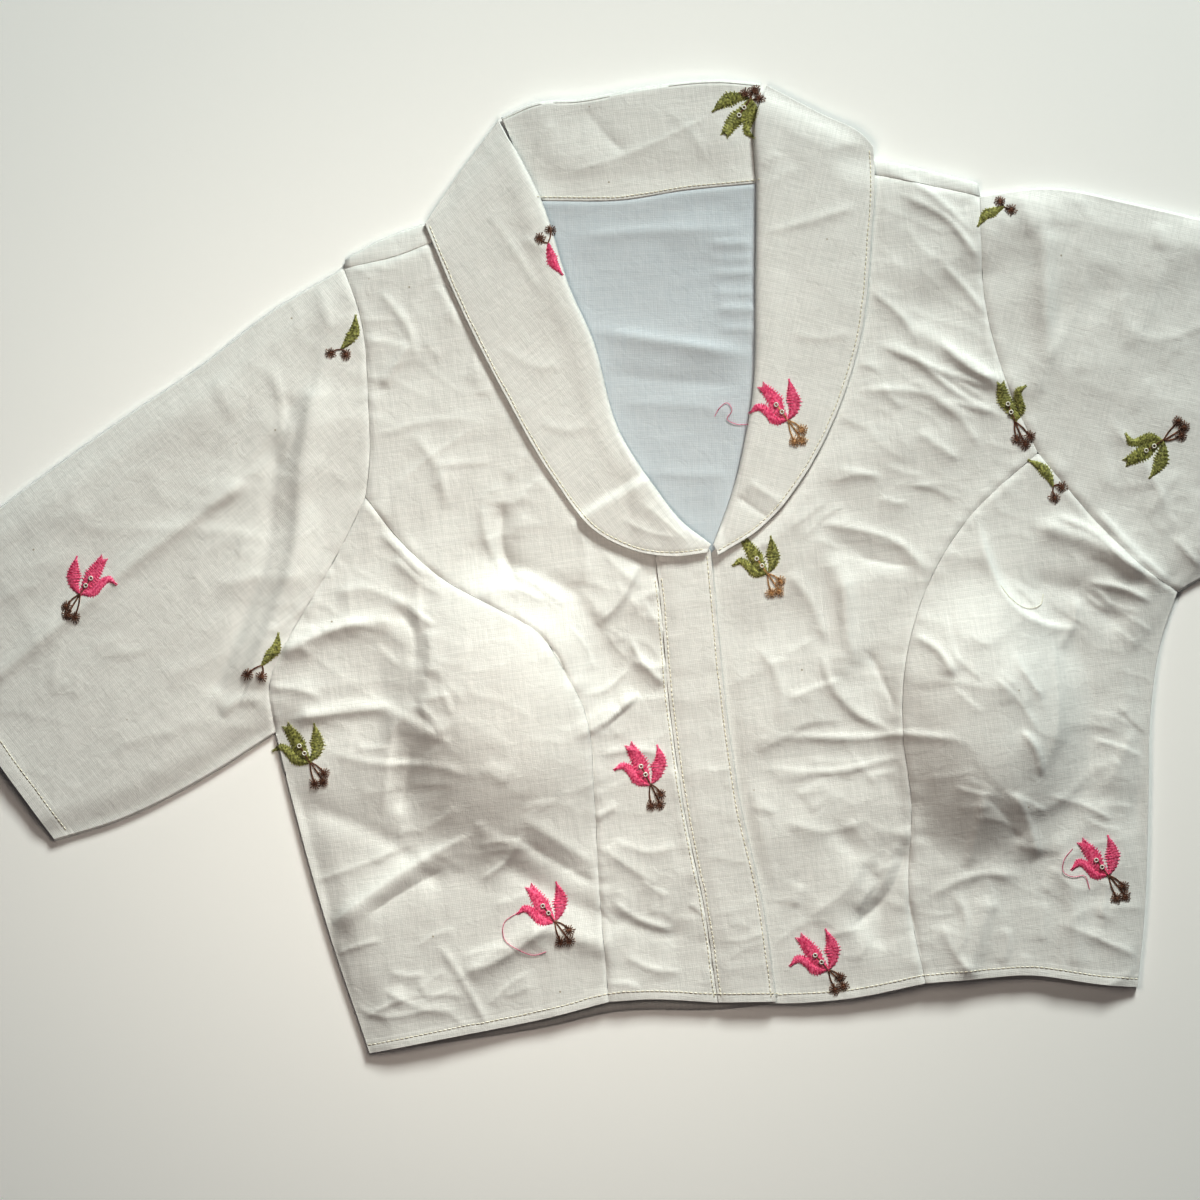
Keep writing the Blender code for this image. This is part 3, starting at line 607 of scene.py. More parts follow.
def bump_at(far, reach):
    """1 on a line and falling away smoothly to both sides, over about the given reach."""
    return np.exp(-((far / reach) ** 2))


def folded_edges():
    """The lines where the front layer comes down to the back one."""
    collar = joined(smooth_line(RIGHT_FALL_FOLD, 4), smooth_line(COLLAR_ROLL, 4),
                    smooth_line(LEFT_FALL_FOLD, 4))
    upper = np.concatenate([
        smooth_line(RIGHT_SLEEVE_TOP, 6)[::-1], smooth_line(RIGHT_SHOULDER_FOLD[:3], 4), collar,
        smooth_line(LEFT_SHOULDER_FOLD[1:], 4), smooth_line(LEFT_SLEEVE_TOP, 6),
    ])
    right_lower = joined(smooth_line(RIGHT_SLEEVE_UNDER, 6)[::-1], smooth_line(RIGHT_SIDE_SEAM, 6))
    left_lower = joined(smooth_line(LEFT_SLEEVE_UNDER, 6)[::-1], smooth_line(LEFT_SIDE_SEAM, 6))
    return upper, right_lower, left_lower


EDGES = folded_edges()
FALL_OUTLINES = (
    joined(smooth_line(RIGHT_FALL_OUTER, 8), smooth_line(RIGHT_FALL_TIP, 1),
           smooth_line(RIGHT_FALL_ROLL, 8)[::-1]),
    joined(smooth_line(LEFT_FALL_OUTER, 8), smooth_line(LEFT_FALL_TIP, 1)[::-1],
           smooth_line(LEFT_FALL_ROLL, 8)[::-1]),
)
SEAMS = tuple(smooth_line(marks, 6) for marks in (
    RIGHT_PRINCESS, LEFT_PRINCESS, RIGHT_CENTRE_EDGE, RIGHT_SHOULDER_SEAM, LEFT_SHOULDER_SEAM,
    RIGHT_ARMHOLE_HIGH, LEFT_ARMHOLE_HIGH, RIGHT_ARMHOLE_LOW, LEFT_ARMHOLE_LOW,
))
FRONT_HEM = np.concatenate([smooth_line(marks, 8) for marks in (
    RIGHT_SIDE_HEM, RIGHT_CENTRE_HEM, PLACKET_HEM, LEFT_CENTRE_HEM[1:], LEFT_SIDE_HEM,
)])
CUFFS = (smooth_line(RIGHT_CUFF, 8), smooth_line(LEFT_CUFF, 8))
SHORT_CREASES = short_creases()


def edge_distance(points):
    """Distance from each point to the nearest edge where the layers meet."""
    return np.min([distance(points, line) for line in EDGES], axis=0)


def base_z(points):
    """Middle of the front layer without its small creases: what the collar lies on."""
    edge = edge_distance(points)
    z = EDGE_Z + (FRONT_Z - EDGE_Z) * smooth(edge / EDGE_RISE)
    for x, y, across, above, below, height in CUPS:
        along = np.where(points[..., 1] > y, above, below)
        reach = np.hypot((points[..., 0] - x) / across, (points[..., 1] - y) / along)
        z += height * smooth(1.0 - reach**CUP_ROUNDNESS)
    return z + relief(points, LARGE_FOLDS, sharp=False) * smooth(edge / FOLD_FADE)


def clear_of_collar(points):
    """0 under the collar and 1 from a few millimetres outside it, where creases may stand up."""
    clear = np.ones(points.shape[:-1])
    for outline in FALL_OUTLINES:
        hidden = inside(points, outline)
        clear *= np.where(hidden, 0.0, smooth((distance(points, outline) - 0.5) / 6.0))
    return clear


def seam_puckers(points):
    """Short ripples that cross each seam, uneven along it."""
    z = np.zeros(points.shape[:-1])
    for number, line in enumerate(SEAMS):
        far, side, share = nearest(points, line)
        along = np.stack([share * length_of(line), 11.0 * side + 40.0 * number], axis=-1)
        height = PUCKER_HEIGHT * far / (far + 0.8) * bump_at(far, PUCKER_REACH)
        z += height * ripple(along, PUCKER_LENGTH, 91)
    return z


def hem_thickening(points):
    """A turned hem is a little thicker than the cloth, with a shallow groove at its stitches."""
    z = np.zeros(points.shape[:-1])
    hems = ((FRONT_HEM, HEM_WIDTH), (CUFFS[0], CUFF_HEM_WIDTH), (CUFFS[1], CUFF_HEM_WIDTH))
    for line, width in hems:
        far = distance(points, line)
        from_stitches = far - width + STITCHES_FROM_HEM_TOP
        z += HEM_RISE * smooth((width + 0.8 - far) / 1.4)
        z -= 0.3 * bump_at(from_stitches, GROOVE_HALF_WIDTH)
    return z


def front_z(points):
    """Height of the middle of the fronts and sleeves, with creases, seams and hems."""
    edge = edge_distance(points)
    fade = smooth(edge / 5.0)
    creases = relief(points, RIGHT_FRONT_CREASES) + relief(points, LEFT_FRONT_CREASES)
    creases = PRESSED * (creases + relief(points, SLEEVE_CREASES)) + relief(points, SHORT_CREASES)
    creases += waves(points, FRONT_WAVES)
    rumpled = smooth(0.5 + 0.9 * ripple(points, 60, 14))
    creases += rumpled * 0.7 * crumple(points, 30, 17, (1.6, 0.8), 15)
    creases += (1.15 - rumpled) * 0.28 * crumple(points, 13, 19, (1.5, 0.9), -25)
    smoother_sleeve = smooth((-175 - points[..., 0]) / 30)
    creases *= 1.0 - 0.4 * smoother_sleeve
    seam = np.min([distance(points, line) for line in SEAMS], axis=0)
    pucker = 0.22 * ripple(points, 5, 11) * bump_at(seam, 6.0) + seam_puckers(points)
    valley = 0.1 * bump_at(seam - 3.0, 1.8) - SEAM_DEPTH * bump_at(seam, 1.1)
    z = base_z(points) + (creases * fade + pucker) * clear_of_collar(points)
    return z + valley + hem_thickening(points)


def under_placket(points):
    """How far the left front is lowered under the placket, from 0 to 1."""
    marks = np.array(PLACKET_EDGE, float)[::-1]
    beyond = points[..., 0] - np.interp(points[..., 1], marks[:, 1], marks[:, 0])
    return smooth(1.0 - beyond / LAP_RUN)


def left_front_z(points):
    """The left front: as front_z, but plain and lower where the placket lies on it."""
    lowered = under_placket(points)
    plain = base_z(points) + hem_thickening(points) * 0.4
    return front_z(points) * (1 - lowered) + plain * lowered - LAP * lowered


def placket_z(points):
    """The band: level with the right front at its seam, raised over the left front."""
    seam = distance(points, smooth_line(RIGHT_CENTRE_EDGE, 8))
    edge = distance(points, smooth_line(PLACKET_EDGE, 8))
    z = base_z(points) + LAP * smooth(seam / LAP_RUN) + 0.5 * hem_thickening(points)
    z += waves(points, PLACKET_WAVES)
    z += 0.6 * relief(points, SHORT_CREASES) * smooth(seam / 4.0) * smooth(edge / 4.0)
    z -= 0.3 * bump_at(seam, 1.0) + 0.25 * bump_at(edge - 2.2, GROOVE_HALF_WIDTH)
    return z - 0.25 * bump_at(seam - 1.8, GROOVE_HALF_WIDTH)


def fall_z(points, side):
    """Middle of a collar fall: on the front, rolled down at the neck, folded at the shoulder."""
    outer, roll, fold = (
        (RIGHT_FALL_OUTER, RIGHT_FALL_ROLL, RIGHT_FALL_FOLD) if side == RIGHT
        else (LEFT_FALL_OUTER, LEFT_FALL_ROLL, LEFT_FALL_FOLD)
    )
    x = points[..., 0]
    over_placket = smooth((x - RIGHT_CENTRE_EDGE[0][0] + 11) / 8) * smooth((66 - x) / 4)
    z = base_z(points) + COLLAR_LIFT + LAP * over_placket
    from_fold = distance(points, smooth_line(fold, 6))
    from_corner = smooth(np.linalg.norm(points - np.array(outer[0], float), axis=-1) / 26)
    z -= FALL_DROP * (1.0 - smooth(from_fold / 9)) * from_corner
    from_roll = distance(points, smooth_line(roll, 8))
    from_outer = distance(points, smooth_line(outer, 8))
    width = smooth((from_roll + from_outer) / 15) * smooth((from_fold - 4) / 30)
    round_off = 1.0 - np.sqrt(np.clip(1.0 - np.clip(1.0 - from_roll / LIP_WIDTH, 0, 1) ** 2, 0, 1))
    z -= LIP_DROP * round_off * width
    z += 0.5 * bump_at(from_roll - 8, 5.0) * width
    z += relief(points, COLLAR_CREASES) + waves(points, FALL_WAVES)
    if side == RIGHT:
        towards_roll = from_outer / (from_outer + from_roll + 1.0)
        z += RIGHT_ROLL_LIFT * towards_roll * smooth((points[..., 1] - 90) / 70) * width
        far, side_of_line, _ = nearest(points, smooth_line(PRESSED_LINE))
        run_out = np.exp(-far / PRESSED_STEP_RUN)
        z += PRESSED_STEP * np.where(side_of_line < 0, run_out, bump_at(far, 0.9))
    return z - 0.28 * bump_at(from_outer - 2.0, GROOVE_HALF_WIDTH)


def stand_z(points, along, from_ends):
    """Inner face of the collar's back, from the neck seam up to its roll."""
    z = EDGE_Z + 0.7 - 0.6 * smooth(along * 4)
    z = z + (COLLAR_BACK_Z - EDGE_Z) * from_ends * smooth(along * 2)
    creases = relief(points, STAND_CREASES) + waves(points, STAND_WAVES)
    return z + creases * from_ends * smooth(along * 5) * smooth((1.0 - along) * 6)


def lining_z(points, outline):
    """The lining: softly waved, and puffed up below the neck seam, where it turns under."""
    fade = smooth(distance(points, outline) / FOLD_FADE)
    creases = relief(points, LINING_CREASES) + waves(points, LINING_WAVES)
    from_top = distance(points, smooth_line(LINING_TOP))
    puff = 0.75 * bump_at(from_top - 2.4, 6.0) * smooth((from_top - 1.3) / 0.8)
    turned_under = 0.42 * (1.0 - smooth((from_top - 1.1) / 0.8))
    return EDGE_Z + (creases + 0.3) * fade + puff - turned_under


def sheet_place():
    """Where the middle of the drafting sheet lies in the frame, from the lining's own corner."""
    even = np.linspace(0.0, 1.0, LINING_SIDE_CELLS + 1)
    sides = np.concatenate([
        spaced(smooth_line(marks), even) for marks in (LINING_RIGHT, LINING_LEFT, LINING_FOOT)
    ])
    corner = np.array(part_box("back_lining")[0]) / MM
    floor = np.array(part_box("back_panel")[0])[2] / MM
    return np.array([corner[0] - sides[:, 0].min(), corner[1] - sides[:, 1].min(), floor])


SHEET = sheet_place()


def raised(grid, z):
    """The grid's points with their heights."""
    return np.concatenate([grid, np.asarray(z)[..., None]], axis=-1)


def grid_faces(rows, columns, ring=False):
    """Quads over a grid of points, whose last column meets the first on a ring."""
    wide = columns if ring else columns - 1
    row, column = np.meshgrid(np.arange(rows - 1), np.arange(wide), indexing="ij")
    row, column = row.ravel(), column.ravel()
    after = (column + 1) % columns
    return np.stack([
        row * columns + column, row * columns + after,
        (row + 1) * columns + after, (row + 1) * columns + column,
    ], axis=1)


def linear(code):
    """An sRGB hex colour as linear RGBA."""
    parts = [int(code[i:i + 2], 16) / 255 for i in (1, 3, 5)]
    return (*[c / 12.92 if c <= 0.04045 else ((c + 0.055) / 1.055) ** 2.4 for c in parts], 1.0)


def add(tree, kind, inputs=(), **settings):
    """One node with its settings; inputs pairs a socket with a value or with a socket to link."""
    node = tree.nodes.new(kind)
    for name, value in settings.items():
        setattr(node, name, value)
    for socket, value in dict(inputs).items():
        if isinstance(value, bpy.types.NodeSocket):
            tree.links.new(value, node.inputs[socket])
        else:
            node.inputs[socket].default_value = value
    return node


def new_material(name, colour, roughness, sheen=0.0, specular=0.3):
    """A material with its tree and its main shader."""
    material = bpy.data.materials.new(name)
    material.use_nodes = True
    shader = material.node_tree.nodes["Principled BSDF"]
    shader.inputs["Base Color"].default_value = linear(colour)
    shader.inputs["Roughness"].default_value = roughness
    shader.inputs["Sheen Weight"].default_value = sheen
    shader.inputs["Specular IOR Level"].default_value = specular
    return material, material.node_tree, shader


def plain_weave(name, colour, shade, fleck, slub_depth, crinkle):
    """Plain-woven cotton: warp and weft threads with slubs, seed flecks and pressed-in crinkles.

    The threads are about 0.4 mm apart on the real cloth, too fine to show, so they are drawn
    0.9 mm apart. The grain UV map is in millimetres, turned with the cloth's own grain.
    """
    material, tree, shader = new_material(name, colour, 0.86, sheen=0.08, specular=0.2)
    grain = add(tree, "ShaderNodeUVMap", uv_map="grain").outputs["UV"]
    thread_mm = 0.9
    band_at_scale_one = 0.314
    yarns = []
    for axis in ("X", "Y"):
        yarns.append(add(tree, "ShaderNodeTexWave", {
            "Vector": grain, "Scale": band_at_scale_one / thread_mm, "Distortion": 1.6,
            "Detail": 2.0, "Detail Scale": 0.6,
        }, wave_type="BANDS", bands_direction=axis).outputs["Fac"])
    slubs = []
    for stretch in ((0.05, 0.9, 1.0), (0.9, 0.05, 1.0)):
        run = add(tree, "ShaderNodeMapping", {"Vector": grain, "Scale": stretch}).outputs["Vector"]
        noise = add(tree, "ShaderNodeTexNoise", {"Vector": run, "Scale": 1.0, "Detail": 2.0})
        slubs.append(noise.outputs["Fac"])
    slub = add(tree, "ShaderNodeMath", {0: slubs[0], 1: slubs[1]}, operation="ADD").outputs[0]
    weave = add(tree, "ShaderNodeMath", {0: yarns[0], 1: yarns[1]}, operation="ADD").outputs[0]
    clouds = add(tree, "ShaderNodeTexNoise", {"Vector": grain, "Scale": 0.02, "Detail": 3.0})
    tone = add(tree, "ShaderNodeMapRange", {
        "Value": slub, "From Min": 0.75, "From Max": 1.25, "To Min": 0.0, "To Max": slub_depth,
    }).outputs["Result"]
    cloudy = add(tree, "ShaderNodeMath", {0: clouds.outputs["Fac"], 1: 0.25, 2: tone},
                 operation="MULTIPLY_ADD").outputs[0]
    cloth = add(tree, "ShaderNodeMix", {0: cloudy, 6: linear(colour), 7: linear(shade)},
                data_type="RGBA").outputs[2]
    spots = add(tree, "ShaderNodeTexVoronoi", {"Vector": grain, "Scale": 0.045, "Randomness": 1.0})
    seed = add(tree, "ShaderNodeMapRange", {
        "Value": spots.outputs["Distance"], "From Min": 0.012, "From Max": 0.03, "To Min": 0.55,
        "To Max": 0.0,
    }).outputs["Result"]
    flecked = add(tree, "ShaderNodeMix", {0: seed, 6: cloth, 7: linear(fleck)}, data_type="RGBA")
    tree.links.new(flecked.outputs[2], shader.inputs["Base Color"])
    crush = add(tree, "ShaderNodeTexNoise", {
        "Vector": grain, "Scale": 0.16, "Detail": 4.0, "Roughness": 0.55, "Distortion": 0.6,
    }).outputs["Fac"]
    fine = add(tree, "ShaderNodeBump", {"Strength": 0.2, "Distance": 0.0001, "Height": weave})
    slubby = add(tree, "ShaderNodeBump", {
        "Strength": 0.3, "Distance": 0.0002, "Height": slub, "Normal": fine.outputs["Normal"],
    })
    crinkled = add(tree, "ShaderNodeBump", {
        "Strength": 0.4, "Distance": crinkle, "Height": crush, "Normal": slubby.outputs["Normal"],
    })
    tree.links.new(crinkled.outputs["Normal"], shader.inputs["Normal"])
    return material


def rayon_floss(name, colour, shade):
    """Twisted rayon embroidery thread: a soft gloss along each strand, and a random mottle between a
    light and a dark colour that is partly uneven dye and partly painted highlight and shade of the
    strands.
    """
    material, tree, shader = new_material(name, colour, 0.42, sheen=0.15, specular=0.45)
    place = add(tree, "ShaderNodeTexCoord").outputs["Object"]
    # The mottle mixes the light and dark colours: partly the dye's own unevenness, partly painted
    # highlight and shade of the strands.
    dye_and_shade_mottle = add(tree, "ShaderNodeTexNoise", {"Vector": place, "Scale": 900.0, "Detail": 2.0})
    depth = add(tree, "ShaderNodeMapRange", {
        "Value": dye_and_shade_mottle.outputs["Fac"], "From Min": 0.3, "From Max": 0.7,
    }).outputs["Result"]
    mix = add(tree, "ShaderNodeMix", {
        0: depth, 6: linear(colour), 7: linear(shade),
    }, data_type="RGBA")
    tree.links.new(mix.outputs[2], shader.inputs["Base Color"])
    twist = add(tree, "ShaderNodeTexNoise", {"Vector": place, "Scale": 2600.0, "Detail": 1.0})
    bump = add(tree, "ShaderNodeBump", {
        "Strength": 0.5, "Distance": 0.0001, "Height": twist.outputs["Fac"],
    })
    tree.links.new(bump.outputs["Normal"], shader.inputs["Normal"])
    return material


def polished_bead(name):
    """Small cast bead with a bright, slightly cloudy surface."""
    material, tree, shader = new_material(name, "#E9E7E0", 0.18, specular=0.6)
    place = add(tree, "ShaderNodeTexCoord").outputs["Object"]
    cloud = add(tree, "ShaderNodeTexNoise", {"Vector": place, "Scale": 700.0})
    mix = add(tree, "ShaderNodeMix", {
        0: cloud.outputs["Fac"], 6: linear("#F4F3EE"), 7: linear("#CFCDC6"),
    }, data_type="RGBA")
    tree.links.new(mix.outputs[2], shader.inputs["Base Color"])
    return material


IVORY_COTTON = plain_weave("ivory_plain_weave_cotton", "#EFEFEE", "#DEDFDE", "#8E7A55", 0.5, 0.0008)
# The lining is a bluish-white cloth. Its colours here are greyer than that, which is painted shade for
# the deep neck opening it lies in.
LINING_COTTON = plain_weave("white_mulmul_lining_painted_shade", "#DADFE4", "#CAD2D9", "#AEB5BB", 0.35, 0.0007)
# Each embroidery floss has a light and a dark colour: partly its uneven dye, partly painted highlight
# and shade of the strands.
PINK_FLOSS = rayon_floss("pink_rayon_floss", "#FF9FBF", "#D84C7E")
GREEN_FLOSS = rayon_floss("olive_rayon_floss", "#CDCE90", "#6E6E42")
BROWN_FLOSS = rayon_floss("brown_rayon_floss", "#A47C67", "#4F3328")
TAN_FLOSS = rayon_floss("tan_rayon_floss", "#E3C39D", "#A27A54")
SEWING_THREAD = rayon_floss("ivory_sewing_thread", "#F6F4EA", "#E6E2D2")
BEAD = polished_bead("white_cast_bead")


CLOTH_PIECES = []


def cloth_piece(name, points, faces, thickness, material, grain_turn, nodes=()):
    """A shell of cloth, thickened evenly to both sides, with its grain as a UV map in mm."""
    mesh = bpy.data.meshes.new(name)
    flat = points.reshape(-1, 3)
    mesh.from_pydata(((flat + SHEET) * MM).tolist(), [], faces.tolist())
    uv = np.stack(turned(flat, grain_turn), axis=1)
    layer = mesh.uv_layers.new(name="grain")
    layer.data.foreach_set("uv", uv[faces.ravel()].ravel())
    mesh.materials.append(material)
    mesh.update()
    mesh.shade_smooth()
    piece = bpy.data.objects.new(name, mesh)
    bpy.context.scene.collection.objects.link(piece)
    wall = piece.modifiers.new("Wall", "SOLIDIFY")
    wall.thickness = thickness * MM
    wall.offset = 0.0
    wall.use_quality_normals = True
    settled(piece)
    piece.data.shade_smooth()
    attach(piece, "root")
    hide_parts(*nodes)
    CLOTH_PIECES.append(piece)
    return piece


def settled(piece):
    """The piece with its modifiers made into plain mesh."""
    graph = bpy.context.evaluated_depsgraph_get()
    made = bpy.data.meshes.new_from_object(piece.evaluated_get(graph), depsgraph=graph)
    rough = piece.data
    piece.modifiers.clear()
    piece.data = made
    made.name = piece.name
    bpy.data.meshes.remove(rough)


def declare(points, ring=False):
    """Works out a piece's flat area and the rectangle that it is cut from, and hands them on to
    nothing.
    """
    closed = np.concatenate([points, points[:, :1]], axis=1) if ring else points
    across = closed[:-1, 1:] - closed[:-1, :-1]
    along = closed[1:, :-1] - closed[:-1, :-1]
    area = np.linalg.norm(np.cross(across, along), axis=-1).sum() * MM**2
    widths = np.linalg.norm(np.diff(closed, axis=1), axis=-1).sum(axis=1)
    lengths = np.linalg.norm(np.diff(closed, axis=0), axis=-1).sum(axis=0)
    width, length = widths.max() * MM, lengths.max() * MM
    area = min(area, width * length)


def panel(name, grid, z, thickness=CLOTH, material=IVORY_COTTON, grain_turn=0.0):
    """A single piece of cloth that follows the heights z over its grid."""
    points = raised(grid, z)
    faces = grid_faces(*grid.shape[:2])
    piece = cloth_piece(name + "_cloth", points, faces, thickness, material, grain_turn, (name,))
    declare(points)
    return piece


def quilt(foot, top, start, end, step):
    """The patch between four lines, with points about one step apart."""
    u = shares(max(length_of(foot), length_of(top)), step)
    v = shares(max(length_of(start), length_of(end)), step)
    return patch(foot, top, start, end, u, v)


def fronts():
    """Two panels for each front, joined at the princess seam, and the placket between them."""
    princess = smooth_line(RIGHT_PRINCESS)
    grid = drawn_in(quilt(
        smooth_line(RIGHT_CENTRE_HEM), smooth_line(RIGHT_SHOULDER_SEAM),
        joined(smooth_line(RIGHT_ARMHOLE_HIGH), princess)[::-1],
        joined(smooth_line(RIGHT_NECK), smooth_line(RIGHT_CENTRE_EDGE))[::-1], FRONT_STEP,
    ))
    panel("front_right_centre", grid, front_z(grid))
    grid = drawn_in(quilt(
        smooth_line(RIGHT_SIDE_HEM), smooth_line(RIGHT_ARMHOLE_LOW)[::-1],
        smooth_line(RIGHT_SIDE_SEAM)[::-1], princess[::-1], FRONT_STEP,
    ))
    panel("front_right_side", grid, front_z(grid))
    princess = smooth_line(LEFT_PRINCESS)
    grid = drawn_in(quilt(
        smooth_line(LEFT_CENTRE_HEM), smooth_line(LEFT_SHOULDER_SEAM),
        joined(smooth_line(LEFT_NECK), smooth_line(LEFT_HIDDEN_TOP),
               smooth_line(LEFT_HIDDEN_EDGE))[::-1],
        joined(smooth_line(LEFT_ARMHOLE_HIGH), princess)[::-1], FRONT_STEP,
    ))
    panel("front_left_centre", grid, left_front_z(grid))
    grid = drawn_in(quilt(
        smooth_line(LEFT_SIDE_HEM)[::-1], smooth_line(LEFT_ARMHOLE_LOW)[::-1],
        smooth_line(LEFT_SIDE_SEAM)[::-1], princess[::-1], FRONT_STEP,
    ))
    panel("front_left_side", grid, front_z(grid))
    grid = drawn_in(quilt(
        smooth_line(PLACKET_HEM), smooth_line(PLACKET_TOP),
        smooth_line(RIGHT_CENTRE_EDGE)[::-1], smooth_line(PLACKET_EDGE)[::-1], COLLAR_STEP,
    ))
    panel("front_placket", grid, placket_z(grid))


def turned_over(points, faces, before, seam_line):
    """Adds the rows that turn an edge over its fold and run on to the seam at the front."""
    seam = spaced(seam_line, np.linspace(0, 1, len(before)))
    base = points[before][:, :2]
    step = seam - base
    step /= np.maximum(np.linalg.norm(step, axis=1, keepdims=True), 1e-6)
    fold_z = front_z(base + step * 2 * FOLD_INSET)
    rows = [(base - step * FOLD_INSET, (REST_Z + fold_z) / 2), (base, fold_z)]
    for share in (0.35, 0.7, 0.92, 1.0):
        place = base + (seam - step * SEAM_GAP / 2 - base) * share
        rows.append((place, front_z(place)))
    for place, z in rows:
        after = list(range(len(points), len(points) + len(before)))
        points = np.concatenate([points, raised(place, z)])
        quads = [list(q) for q in zip(before[:-1], before[1:], after[1:], after[:-1])]
        faces = np.concatenate([faces, quads])
        before = after
    return points, faces


def back():
    """The back lies flat on the surface; its shoulder edges turn over to the front."""
    right_fold = smooth_line(RIGHT_SHOULDER_FOLD)
    left_fold = smooth_line(LEFT_SHOULDER_FOLD)
    neck = smooth_line(BACK_NECK)
    counts = [int(length_of(line) / BACK_STEP) for line in (right_fold, neck, left_fold)]
    pieces = [
        spaced(line, np.linspace(0, 1, count + 1))
        for line, count in zip((right_fold, neck, left_fold), counts)
    ]
    top = joined(*pieces)
    right_side = joined(
        right_fold[:1], smooth_line(RIGHT_ARMHOLE_HIGH), smooth_line(RIGHT_ARMHOLE_LOW),
        smooth_line(RIGHT_SIDE_SEAM),
    )
    left_side = joined(
        left_fold[-1:], smooth_line(LEFT_ARMHOLE_HIGH), smooth_line(LEFT_ARMHOLE_LOW),
        smooth_line(LEFT_SIDE_SEAM),
    )
    rows = int(length_of(left_side) / BACK_STEP)
    v = np.linspace(0, 1, rows + 1)
    u = np.concatenate([[0.0], np.cumsum(np.linalg.norm(np.diff(top, axis=0), axis=1))])
    grid = patch(smooth_line(BACK_HEM), top, right_side[::-1], left_side[::-1], u / u[-1], v)
    grid = drawn_in(grid)
    inner = drawn_in(grid, FOLD_INSET)
    columns = grid.shape[1]
    shoulders = (
        (list(range(counts[0] + 1)), smooth_line(RIGHT_SHOULDER_SEAM)),
        (list(range(columns - counts[2] - 1, columns)), smooth_line(LEFT_SHOULDER_SEAM)),
    )
    for edge, _ in shoulders:
        grid[-1, edge] = inner[-1, edge]
    points = raised(grid, np.full(grid.shape[:2], REST_Z)).reshape(-1, 3)
    faces = grid_faces(*grid.shape[:2])
    flat_rows = points.reshape(grid.shape[0], columns, 3)
    last = (grid.shape[0] - 1) * columns
    for edge, seam_line in shoulders:
        points, faces = turned_over(points, faces, [last + column for column in edge], seam_line)
    piece = cloth_piece("back_panel_cloth", points, faces, CLOTH, IVORY_COTTON, 0.0, ("back_panel",))
    declare(flat_rows)


def lining():
    """The lining of the back, as far as the neck opening shows it."""
    foot, top = smooth_line(LINING_FOOT), smooth_line(LINING_TOP)
    right = joined(smooth_line(LINING_RIGHT), np.array([LINING_RIGHT[-1], LINING_TOP[0]], float))
    left = joined(smooth_line(LINING_LEFT), np.array([LINING_LEFT[-1], LINING_TOP[-1]], float))
    outline = np.concatenate([right, top, left[::-1], foot[::-1]])
    grid = quilt(foot, top, right, left, LINING_STEP)
    panel("back_lining", grid, lining_z(grid, outline), material=LINING_COTTON,
          grain_turn=-4.0)


def sleeve(name, top, under, cuff, armhole_high, armhole_low, mirrored, grain_turn):
    """A tube pressed flat: rings that run over the front layer and back along the surface."""
    armhole = joined(smooth_line(armhole_high), smooth_line(armhole_low))
    v = shares(length_of(smooth_line(top)), SLEEVE_STEP)
    over_u = shares(length_of(armhole), SLEEVE_STEP)
    columns_below = 40
    below_u = np.linspace(0, 1, columns_below)
    edges = armhole, smooth_line(cuff), smooth_line(top), smooth_line(under)
    upper = patch(*edges, over_u, v)
    lower = patch(*edges, below_u, v)
    # Half of the seam's gap at the armhole
    for grid in (upper, lower):
        along = grid[1] - grid[0]
        grid[0] += along / np.linalg.norm(along, axis=1, keepdims=True) * SEAM_GAP / 2
    folds = np.stack([upper[:, 0], upper[:, -1]], axis=1)
    # Both layers stop short of the folds, where the cloth turns over, with the edge points after them
    for grid, count in ((upper, len(EDGE_STEPS)), (lower, 1)):
        for side, inner in ((0, count), (-1, -1 - count)):
            step = grid[:, inner] - grid[:, side]
            shift = step / np.linalg.norm(step, axis=1, keepdims=True) * FOLD_INSET
            grid[:, side] += shift
            for extra in range(1, count):
                place = extra if side == 0 else -1 - extra
                grid[:, place] += shift * (1 - extra / count)
    upper = raised(upper, front_z(upper))
    lower = raised(lower, np.full(lower.shape[:2], REST_Z))
    fold_z = (upper[:, [0, -1], 2] + REST_Z) / 2
    folds = raised(folds, fold_z)
    ring = np.concatenate([folds[:, :1], upper, folds[:, 1:], lower[:, ::-1]], axis=1)
    if mirrored:
        ring = ring[:, ::-1]
    faces = grid_faces(*ring.shape[:2], ring=True)
    piece = cloth_piece(name + "_cloth", ring, faces, CLOTH, IVORY_COTTON, grain_turn, (name,))
    declare(ring, ring=True)


